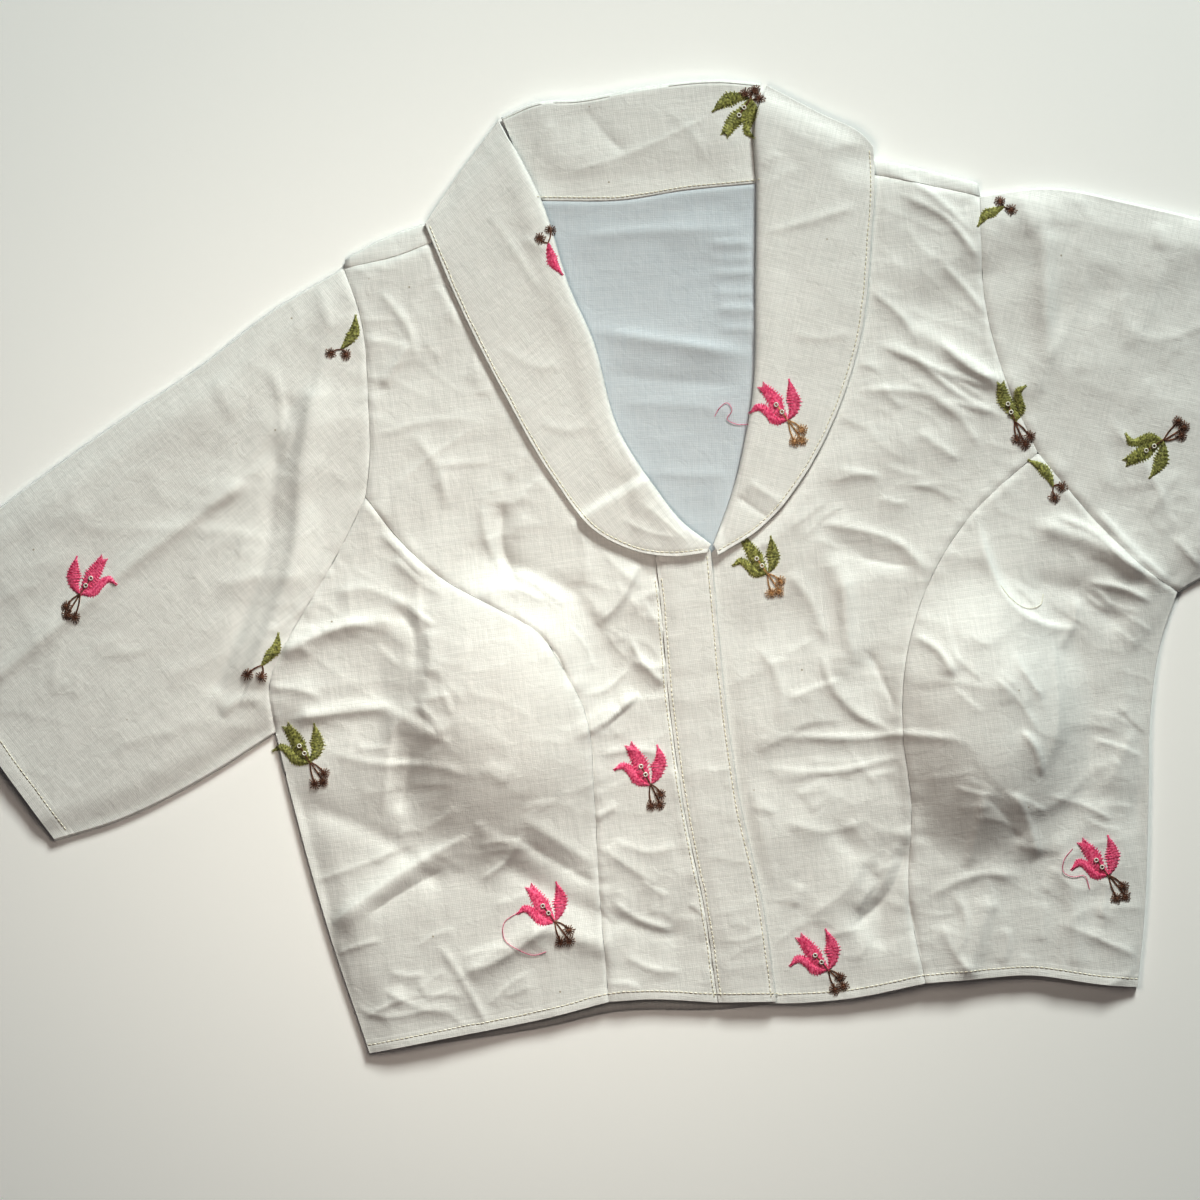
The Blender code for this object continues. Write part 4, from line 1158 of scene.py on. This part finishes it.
def collar():
    """The two falls, and the back's band, which runs up the neck, over its roll and down behind."""
    widest_fall = 46.0
    for side, outer, roll, fold, tip in (
        (RIGHT, RIGHT_FALL_OUTER, RIGHT_FALL_ROLL, RIGHT_FALL_FOLD, RIGHT_FALL_TIP),
        (LEFT, LEFT_FALL_OUTER, LEFT_FALL_ROLL, LEFT_FALL_FOLD[::-1], LEFT_FALL_TIP[::-1]),
    ):
        u = shares(widest_fall, COLLAR_STEP)
        v = shares(length_of(smooth_line(outer)), COLLAR_STEP)
        grid = patch(
            smooth_line(tip), smooth_line(fold), smooth_line(outer)[::-1], smooth_line(roll)[::-1],
            u, v,
        )
        panel("collar_" + side, grid, fall_z(grid, side),
              thickness=COLLAR_CLOTH, grain_turn=-60.0 if side == RIGHT else 70.0)
    u = shares(length_of(smooth_line(COLLAR_ROLL)), COLLAR_STEP)
    v = shares(length_of(smooth_line(COLLAR_BACK_LEFT_END)), COLLAR_STEP)
    grid = patch(
        smooth_line(COLLAR_SEAM), smooth_line(COLLAR_ROLL), smooth_line(COLLAR_BACK_RIGHT_END),
        smooth_line(COLLAR_BACK_LEFT_END), u, v,
    )
    x = grid[..., 0]
    from_ends = smooth(np.minimum(x - x[:, :1], x[:, -1:] - x) / COLLAR_BACK_END_RISE)
    face = raised(grid, stand_z(grid, v[:, None], from_ends))
    face[-1, :, 1] -= FOLD_INSET
    fold = raised(grid[-1:], (face[-1:, :, 2] + REST_Z) / 2)
    behind = raised(grid[::-3], np.full(grid[::-3].shape[:2], REST_Z))
    behind[0, :, 1] -= FOLD_INSET
    behind[-1, :, 1] += HIDDEN_FALL_SHORT
    points = np.concatenate([face, fold, behind])
    piece = cloth_piece("collar_back_cloth", points, grid_faces(*points.shape[:2]), CLOTH,
                        IVORY_COTTON, 0.0, ("collar_back",))
    declare(points)


VIEW_TURN = math.radians(7)
PICTURE_UP = np.array([math.sin(VIEW_TURN), math.cos(VIEW_TURN)])
PICTURE_RIGHT = np.array([PICTURE_UP[1], -PICTURE_UP[0]])
PICTURE_WIDTH = 0.6
CAMERA_HEIGHT = 3.0
FLOOR_REACH = 6.0
FLOOR_DROP = 0.0005

# The lamps. Columns: name, power in watts, side of the square in metres, place from the picture's
# middle to its right and up it, height, colour
LAMPS = (
    ("window", 168.0, 1.2, (1.2, 3.4), 2.1, "#F8FDF8"),
    ("warm_room", 1.4, 1.0, (-0.3, -1.3), 0.7, "#FFE0D8"),
    ("ceiling_lamp", 0.7, 0.25, (-0.04, -0.03), 0.4, "#FFF3E6"),
)


def plain_floor():
    """A matt white board, a hair below the cloth, with a fine grit that only softens its shine."""
    mesh = bpy.data.meshes.new("floor")
    corners = ((-1, -1), (1, -1), (1, 1), (-1, 1))
    mesh.from_pydata(
        [(x * FLOOR_REACH, y * FLOOR_REACH, -FLOOR_DROP) for x, y in corners], [], [(0, 1, 2, 3)],
    )
    floor = bpy.data.objects.new("floor", mesh)
    material, tree, shader = new_material("matt_white_board", "#FFFFFF", 0.9, specular=0.1)
    grit = add(tree, "ShaderNodeTexNoise", {
        "Vector": add(tree, "ShaderNodeTexCoord").outputs["Object"], "Scale": 300.0,
    })
    bump = add(tree, "ShaderNodeBump", {
        "Strength": 0.05, "Distance": 0.0002, "Height": grit.outputs["Fac"],
    })
    tree.links.new(bump.outputs["Normal"], shader.inputs["Normal"])
    mesh.materials.append(material)
    bpy.context.scene.collection.objects.link(floor)


def soft_light():
    """A window past the top of the picture, a weak warm fill from its foot, and a small lamp
    above the middle that brightens the cups."""
    world = bpy.data.worlds.new("soft_room")
    world.use_nodes = True
    sky = world.node_tree.nodes["Background"]
    sky.inputs["Color"].default_value = linear("#E2EBEE")
    sky.inputs["Strength"].default_value = 0.06
    bpy.context.scene.world = world

    middle = SHEET[:2] * MM
    for name, power, size, (right, up), height, colour in LAMPS:
        data = bpy.data.lights.new(name, "AREA")
        data.energy = power
        data.shape = "SQUARE"
        data.size = size
        data.color = linear(colour)[:3]
        lamp = bpy.data.objects.new(name, data)
        place = middle + PICTURE_RIGHT * right + PICTURE_UP * up
        lamp.location = (*place, height)
        aim = Vector((*(middle - place), -height))
        lamp.rotation_euler = aim.to_track_quat("-Z", "Y").to_euler()
        bpy.context.scene.collection.objects.link(lamp)


def overhead_camera():
    """A long lens straight above, and a tone curve steep enough to show folds in white cloth."""
    data = bpy.data.cameras.new("overhead")
    data.sensor_fit = "HORIZONTAL"
    data.sensor_width = 36.0
    data.lens = data.sensor_width * CAMERA_HEIGHT / PICTURE_WIDTH
    camera = bpy.data.objects.new("overhead", data)
    camera.location = (*(SHEET[:2] * MM), CAMERA_HEIGHT)
    camera.rotation_euler = (0.0, 0.0, -VIEW_TURN)
    bpy.context.scene.collection.objects.link(camera)
    bpy.context.scene.camera = camera
    view = bpy.context.scene.view_settings
    view.view_transform = "Standard"
    view.exposure = 0.2
    view.gamma = 0.63


def node_group(name, sizes):
    """A geometry node group with a mesh in, a mesh out, and the named sizes as inputs."""
    group = bpy.data.node_groups.new(name, "GeometryNodeTree")
    group.interface.new_socket("Lines", in_out="INPUT", socket_type="NodeSocketGeometry")
    for size in sizes:
        group.interface.new_socket(size, in_out="INPUT", socket_type="NodeSocketFloat")
    group.interface.new_socket("Thread", in_out="INPUT", socket_type="NodeSocketMaterial")
    group.interface.new_socket("Mesh", in_out="OUTPUT", socket_type="NodeSocketGeometry")
    return group, group.nodes.new("NodeGroupInput").outputs


def finish_group(group, geometry, material):
    """Ends a group with real geometry in the thread's material."""
    real = add(group, "GeometryNodeRealizeInstances", {"Geometry": geometry})
    done = add(group, "GeometryNodeSetMaterial", {
        "Geometry": real.outputs["Geometry"], "Material": material,
    })
    add(group, "NodeGroupOutput", {"Mesh": done.outputs["Geometry"]})
    return group


def machine_stitches():
    """Stitches set end to end along a line, each one a thin spindle of thread."""
    group, given = node_group("machine_stitches", ("Pitch", "Length", "Thickness"))
    line = add(group, "GeometryNodeMeshToCurve", {"Mesh": given["Lines"]}).outputs["Curve"]
    spaced_line = add(group, "GeometryNodeResampleCurve", {
        "Curve": line, "Length": given["Pitch"],
    }, mode="LENGTH").outputs["Curve"]
    spindle = add(group, "GeometryNodeMeshUVSphere", {"Segments": 6, "Rings": 4, "Radius": 0.5})
    size = add(group, "ShaderNodeCombineXYZ", {
        "X": given["Thickness"], "Y": given["Thickness"], "Z": given["Length"],
    })
    way = add(group, "FunctionNodeAlignRotationToVector", {
        "Vector": add(group, "GeometryNodeInputTangent").outputs["Tangent"],
    }, axis="Z")
    stitches = add(group, "GeometryNodeInstanceOnPoints", {
        "Points": spaced_line, "Instance": spindle.outputs["Mesh"],
        "Rotation": way.outputs["Rotation"], "Scale": size.outputs["Vector"],
    })
    return finish_group(group, stitches.outputs["Instances"], given["Thread"])


def laid_thread():
    """A round thread laid along each line."""
    group, given = node_group("laid_thread", ("Thickness",))
    line = add(group, "GeometryNodeMeshToCurve", {"Mesh": given["Lines"]}).outputs["Curve"]
    half = add(group, "ShaderNodeMath", {0: given["Thickness"], 1: 0.5}, operation="MULTIPLY")
    ring = add(group, "GeometryNodeCurvePrimitiveCircle", {
        "Resolution": 5, "Radius": half.outputs[0],
    })
    tube = add(group, "GeometryNodeCurveToMesh", {
        "Curve": line, "Profile Curve": ring.outputs["Curve"], "Fill Caps": True,
    })
    return finish_group(group, tube.outputs["Mesh"], given["Thread"])


def cloth_below():
    """Finds the cloth under points of the drafting sheet, by rays from above."""
    corners, faces = [], []
    for piece in CLOTH_PIECES:
        start = len(corners)
        corners.extend(vertex.co.copy() for vertex in piece.data.vertices)
        faces.extend([start + i for i in face.vertices] for face in piece.data.polygons)
    tree = BVHTree.FromPolygons(corners, faces)
    down = Vector((0.0, 0.0, -1.0))

    def height(points):
        """Height of the cloth's upper face, in millimetres on the drafting sheet."""
        found = []
        for x, y in np.asarray(points, float).reshape(-1, 2):
            place = Vector(((x + SHEET[0]) * MM, (y + SHEET[1]) * MM, 0.2))
            hit = tree.ray_cast(place, down)[0]
            found.append(hit.z / MM - SHEET[2] if hit else 0.0)
        return np.array(found).reshape(np.shape(points)[:-1])

    return height


def threads(name, lines, group, sizes, material):
    """One mesh of thread from many lines of points, by a geometry node group."""
    places, edges = [], []
    for line in lines:
        start = len(places)
        places.extend(((np.asarray(line) + SHEET) * MM).tolist())
        edges.extend((i, i + 1) for i in range(start, len(places) - 1))
    mesh = bpy.data.meshes.new(name)
    mesh.from_pydata(places, edges, [])
    piece = bpy.data.objects.new(name, mesh)
    bpy.context.scene.collection.objects.link(piece)
    modifier = piece.modifiers.new("Thread", "NODES")
    modifier.node_group = group
    values = dict(sizes, Thread=material)
    for socket in group.interface.items_tree:
        if socket.in_out == "INPUT" and socket.name in values:
            modifier[socket.identifier] = values[socket.name]
    settled(piece)
    piece.data.shade_smooth()
    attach(piece, "root")
    return piece


def offset_line(line, by):
    """The line moved to the left of its way."""
    along = np.gradient(line, axis=0)
    along /= np.maximum(np.linalg.norm(along, axis=1, keepdims=True), 1e-9)
    return line + np.stack([-along[:, 1], along[:, 0]], axis=1) * by


def trimmed(line, start, end):
    """The line without the given lengths at its start and end, at 2 mm steps."""
    whole = length_of(line)
    steps = int((whole - start - end) / 2.0)
    return spaced(line, np.linspace(start / whole, 1.0 - end / whole, steps))


def without_doubles(line):
    """The line without points that repeat the one before."""
    apart = np.linalg.norm(np.diff(line, axis=0), axis=1) > 0.01
    return line[np.concatenate([[True], apart])]


def stitching(height):
    """Every run of machine stitches that shows."""
    hem_line = HEM_WIDTH - STITCHES_FROM_HEM_TOP
    cuff_line = CUFF_HEM_WIDTH - STITCHES_FROM_HEM_TOP
    # Columns: line that the run follows, how far to the left of its way, length left out at its
    # start and at its end
    runs = (
        (smooth_line(RIGHT_FALL_OUTER), 2.0, 3, 3),
        (smooth_line(LEFT_FALL_OUTER), -2.0, 3, 3),
        (smooth_line(RIGHT_CENTRE_EDGE), 1.9, 46, 4),
        (smooth_line(RIGHT_CENTRE_EDGE), -1.5, 46, 4),
        (smooth_line(PLACKET_EDGE), -2.2, 4, 4),
        (without_doubles(FRONT_HEM), hem_line, 1, 1),
        (smooth_line(RIGHT_CUFF), cuff_line, 2, 2),
        (smooth_line(LEFT_CUFF), -cuff_line, 2, 2),
        (smooth_line(COLLAR_SEAM), 1.6, 2, 2),
    )
    above_cloth = 0.14
    lines = []
    for line, by, start, end in runs:
        path = trimmed(offset_line(line, by), start, end)
        wander = np.stack([ripple(path, 9, 71), ripple(path, 9, 73)], axis=1)
        path = path + STITCH_WANDER * wander
        lines.append(raised(path, height(path) + above_cloth))
    sizes = {
        "Pitch": STITCH_PITCH * MM, "Length": STITCH_LENGTH * MM, "Thickness": STITCH_THICKNESS * MM,
    }
    threads("seam_stitching", lines, machine_stitches(), sizes, SEWING_THREAD)


# The three petals of an open bud, and the single one of a shut bud, in millimetres from the bud's
# middle with the tips up. Columns: marks of its length from base to tip, half width, share of the
# length where it is widest, bluntness
PETALS = {
    "middle": (((0.2, -9.6), (-0.8, -2.0), (-0.4, 6.0), (-1.4, 13.5)), 3.9, 0.42, 0.42),
    "left": (((-0.6, -9.2), (-4.9, -5.4), (-7.2, 1.0), (-9.6, 5.4), (-12.8, 5.6)), 3.3, 0.45, 0.1),
    "right": (((1.0, -9.2), (5.0, -6.6), (8.6, -2.4), (10.4, 1.6), (12.0, 6.8)), 3.5, 0.45, 0.06),
    "bud": (((0.0, -9.4), (1.3, -4.0), (1.2, 2.6), (-0.8, 8.4)), 2.7, 0.45, 0.1),
}

# Embroidery, in millimetres: spacing of a petal's satin stitches, thicknesses of thread, the
# knots, and the beads, which are small rings
STRAND_SPACING = 0.4
PETAL_THREAD = 0.46
STALK_THREAD = 0.42
KNOT_RADIUS = 2.8
BEAD_RING_RADIUS = 0.92
BEAD_HALF_THICKNESS = 0.42
BEAD_MIDDLE_Z = 1.05

# Ends of thread that lie loose, three pink and one ivory, and how thick they are
LOOSE_PINK_ENDS = (
    ((68, 84), (71, 88), (75, 90), (77, 86), (74, 82), (78, 79), (84, 78)),
    ((-60, -150), (-67, -154), (-68, -162), (-62, -168), (-54, -172), (-48, -171)),
    ((219, -152), (214, -157), (213, -163), (218, -166), (223, -166), (225, -173)),
)
LOOSE_IVORY_END = ((199, -17), (204, -25), (211, -30), (218, -29), (220, -24))
LOOSE_PINK_THREAD = 0.28
LOOSE_IVORY_THREAD = 0.3

# Buds on the cloth. Columns: petal colour, stalk colour, middle, middle of the knots, petals,
# mirrored
BUDS = (
    ("green", "brown", (99, 233), (107, 241), ("middle", "left", "right"), False),
    ("green", "brown", (-108, 147), (-115, 137), ("bud",), False),
    ("pink", "brown", (-2, 172), (-5, 185), ("bud",), False),
    ("pink", "brown", (-252, 41), (-263, 26), ("middle", "left", "right"), True),
    ("green", "brown", (-166, -5), (-176, -17), ("bud",), False),
    ("green", "brown", (-157, -55), (-150, -72), ("middle", "left", "right"), False),
    ("pink", "brown", (11, -86), (16, -103), ("middle", "left", "right"), False),
    ("pink", "brown", (-46, -149), (-38, -165), ("middle", "left", "right"), False),
    ("pink", "brown", (86, -190), (95, -205), ("middle", "left", "right"), False),
    ("pink", "brown", (231, -160), (240, -177), ("middle", "left", "right"), False),
    ("pink", "tan", (100, 85), (108, 69), ("middle", "left", "right"), False),
    ("green", "tan", (81, 10), (88, -5), ("middle", "left", "right"), False),
    ("green", "brown", (217, 167), (226, 171), ("bud",), False),
    ("green", "brown", (214, 71), (220, 54), ("middle", "left"), True),
    ("green", "brown", (227, 36), (234, 25), ("bud",), False),
    ("green", "brown", (281, 41), (298, 50), ("middle", "left", "right"), True),
)


def petal_strands(marks, half_width, widest, blunt, rng):
    """Satin stitches from edge to edge, leaning to the tip, with a fringed outline."""
    vein = smooth_line(marks)
    count = int(length_of(vein) / STRAND_SPACING)
    left, right = offset_line(vein, 1.0), offset_line(vein, -1.0)
    lines = []
    for number in range(count):
        t = (number + 0.5) / count
        grown = (t / widest) ** 0.75 if t < widest else 1.0
        waning = ((1.0 - t) / (1.0 - widest)) ** 0.8 if t > widest else 1.0
        swell = grown * (blunt + (1.0 - blunt) * waning)
        ends = []
        for edge, lead in ((left, 0.5), (right, 1.9)):
            share = min(t + lead * swell / length_of(vein), 1.0)
            middle = spaced(vein, [share])[0]
            away = spaced(edge, [share])[0] - middle
            fringe = 1.0 + (0.3 if number % 4 == (0 if lead < 1 else 2) else 0.0)
            reach = half_width * swell * (fringe + rng.uniform(-0.1, 0.1)) + 0.2
            ends.append(middle + away / np.linalg.norm(away) * reach)
        lines.append(ends[0] + (ends[1] - ends[0]) * np.linspace(0, 1, 5)[:, None])
    ahead = vein[-1] - spaced(vein, [0.9])[0]
    ahead /= np.linalg.norm(ahead)
    across = np.array([-ahead[1], ahead[0]])
    for spread in np.linspace(-1.0, 1.0, 7):
        root = vein[-1] - ahead * 3.0 + across * spread * half_width * blunt
        tip = vein[-1] + ahead * (0.4 + 1.8 * abs(spread)) + across * spread * half_width * blunt * 1.25
        lines.append(root + (tip - root) * np.linspace(0, 1, 4)[:, None])
    return lines


def arched(lines, height, low, high):
    """Lines lifted off the cloth, low at their ends and high in the middle."""
    lifted = []
    for line in lines:
        line = np.asarray(line, float)
        rise = np.sin(np.linspace(0, math.pi, len(line)))
        lifted.append(raised(line, height(line) + low + (high - low) * rise))
    return lifted


def knot_strands(place, radius, rng):
    """A thick round knot: spokes of uneven length, and strands that cross over its middle."""
    lines = []
    for turn in np.arange(13) * 2 * math.pi / 13 + rng.uniform(0, 1):
        way = np.array([math.cos(turn), math.sin(turn)])
        lines.append(place + way * np.linspace(0.2, radius * rng.uniform(0.8, 1.2), 4)[:, None])
    for turn in np.arange(4) * math.pi / 4:
        way = np.array([math.cos(turn), math.sin(turn)])
        lines.append(place + way * np.linspace(-0.5, 0.5, 4)[:, None] * radius)
    return lines


def bud(number, colour, stalk_colour, middle, knots, shown, mirrored, height, floss, beads):
    """Adds one bud's strands to the floss of its colours, and its two beads if it is open."""
    rng = np.random.default_rng(100 + number)
    middle, knots = np.array(middle, float), np.array(knots, float)
    up = (middle - knots) / np.linalg.norm(middle - knots)
    right = np.array([up[1], -up[0]]) * (-1.0 if mirrored else 1.0)
    size = rng.uniform(0.86, 0.93)

    def place(points):
        points = np.asarray(points)
        return middle + (points[..., :1] * right + points[..., 1:] * up) * size

    for name in shown:
        marks, half_width, widest, blunt = PETALS[name]
        marks = np.array(marks) + rng.uniform(-0.5, 0.5, (len(marks), 2))
        strands = petal_strands(marks, half_width, widest, blunt, rng)
        floss[colour] += arched([place(line) for line in strands], height, 0.0, 0.6)
    stalk = floss[stalk_colour]
    reach = np.linalg.norm(knots - middle) / size
    base = np.array([0.2, -9.2])
    stem = smooth_line((base + (0.0, -1.5), (0.0, -5.0), (-0.3, 0.5), (-0.5, 3.5)), 4)
    if "middle" in shown:
        stems = [place(stem + (shift, 0.0)) for shift in (-0.3, 0.15)]
        stalk += arched(stems, height, 0.5, 0.7)
        beads += [place((0.0, -3.6)), place((-0.5, 1.4))]
    seats = ((-3.6, -reach - 0.6), (3.8, -reach + 2.2), (1.0, -reach - 2.6))
    for seat in seats[:1 + len(shown)]:
        seat = np.array(seat) + rng.uniform(-0.5, 0.5, 2)
        bend = (base + seat) / 2 + (0.16 * seat[0], 0.4)
        branch = smooth_line((base, bend, seat), 4)
        stalk += arched([place(branch), place(branch + (0.34, 0.1))], height, 0.2, 0.35)
        stalk += arched(knot_strands(place(seat), KNOT_RADIUS, rng), height, 0.3, 1.0)


def embroidery(height):
    """All buds, as one mesh for each colour of floss, with their beads and the loose ends."""
    floss = {"pink": [], "green": [], "brown": [], "tan": []}
    beads = []
    for number, columns in enumerate(BUDS):
        bud(number, *columns, height, floss, beads)
    thread = laid_thread()
    for colour, name, thickness, material, slot in (
        ("pink", "pink_petals", PETAL_THREAD, PINK_FLOSS, "embroidery_pink"),
        ("green", "green_petals", PETAL_THREAD, GREEN_FLOSS, "embroidery_green"),
        ("brown", "brown_stalks_and_knots", STALK_THREAD, BROWN_FLOSS, "embroidery_brown"),
        ("tan", "tan_stalks_and_knots", STALK_THREAD, TAN_FLOSS, "embroidery_brown"),
    ):
        threads(name, floss[colour], thread, {"Thickness": thickness * MM}, material)
    bead_rings(np.array(beads), height)
    for name, ends, thickness, material, slot in (
        ("loose_pink_ends", LOOSE_PINK_ENDS, LOOSE_PINK_THREAD, PINK_FLOSS, "embroidery_pink"),
        ("loose_ivory_end", (LOOSE_IVORY_END,), LOOSE_IVORY_THREAD, SEWING_THREAD, "sewing_thread"),
    ):
        loose = arched([smooth_line(marks, 5) for marks in ends], height, 0.3, 0.6)
        threads(name, loose, thread, {"Thickness": thickness * MM}, material)


def bead_rings(places, height):
    """Small round beads with a hole, sewn down flat, joined into one mesh."""
    around, ring = 12, 7
    turn = np.arange(around) * 2 * math.pi / around
    tilt = np.arange(ring) * 2 * math.pi / ring
    out = BEAD_RING_RADIUS + BEAD_HALF_THICKNESS * np.cos(tilt)[None]
    shape = np.stack([
        np.cos(turn)[:, None] * out, np.sin(turn)[:, None] * out,
        np.broadcast_to(BEAD_HALF_THICKNESS * np.sin(tilt), (around, ring)),
    ], axis=-1).reshape(-1, 3)
    quads = [
        (a * ring + b, ((a + 1) % around) * ring + b, ((a + 1) % around) * ring + (b + 1) % ring,
         a * ring + (b + 1) % ring)
        for a in range(around) for b in range(ring)
    ]
    points, faces = [], []
    for place, z in zip(places, height(places)):
        start = len(points)
        points.extend(((shape + (*place, z + BEAD_MIDDLE_Z) + SHEET) * MM).tolist())
        faces.extend([start + i for i in quad] for quad in quads)
    mesh = bpy.data.meshes.new("white_beads")
    mesh.from_pydata(points, [], faces)
    mesh.materials.append(BEAD)
    mesh.shade_smooth()
    piece = bpy.data.objects.new("white_beads", mesh)
    bpy.context.scene.collection.objects.link(piece)
    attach(piece, "root")


plain_floor()
soft_light()
overhead_camera()
back()
lining()
fronts()
sleeve("sleeve_right", RIGHT_SLEEVE_TOP, RIGHT_SLEEVE_UNDER, RIGHT_CUFF, RIGHT_ARMHOLE_HIGH,
       RIGHT_ARMHOLE_LOW, False, 31.0)
sleeve("sleeve_left", LEFT_SLEEVE_TOP, LEFT_SLEEVE_UNDER, LEFT_CUFF, LEFT_ARMHOLE_HIGH,
       LEFT_ARMHOLE_LOW, True, -20.0)
collar()
height_of_cloth = cloth_below()
stitching(height_of_cloth)
embroidery(height_of_cloth)
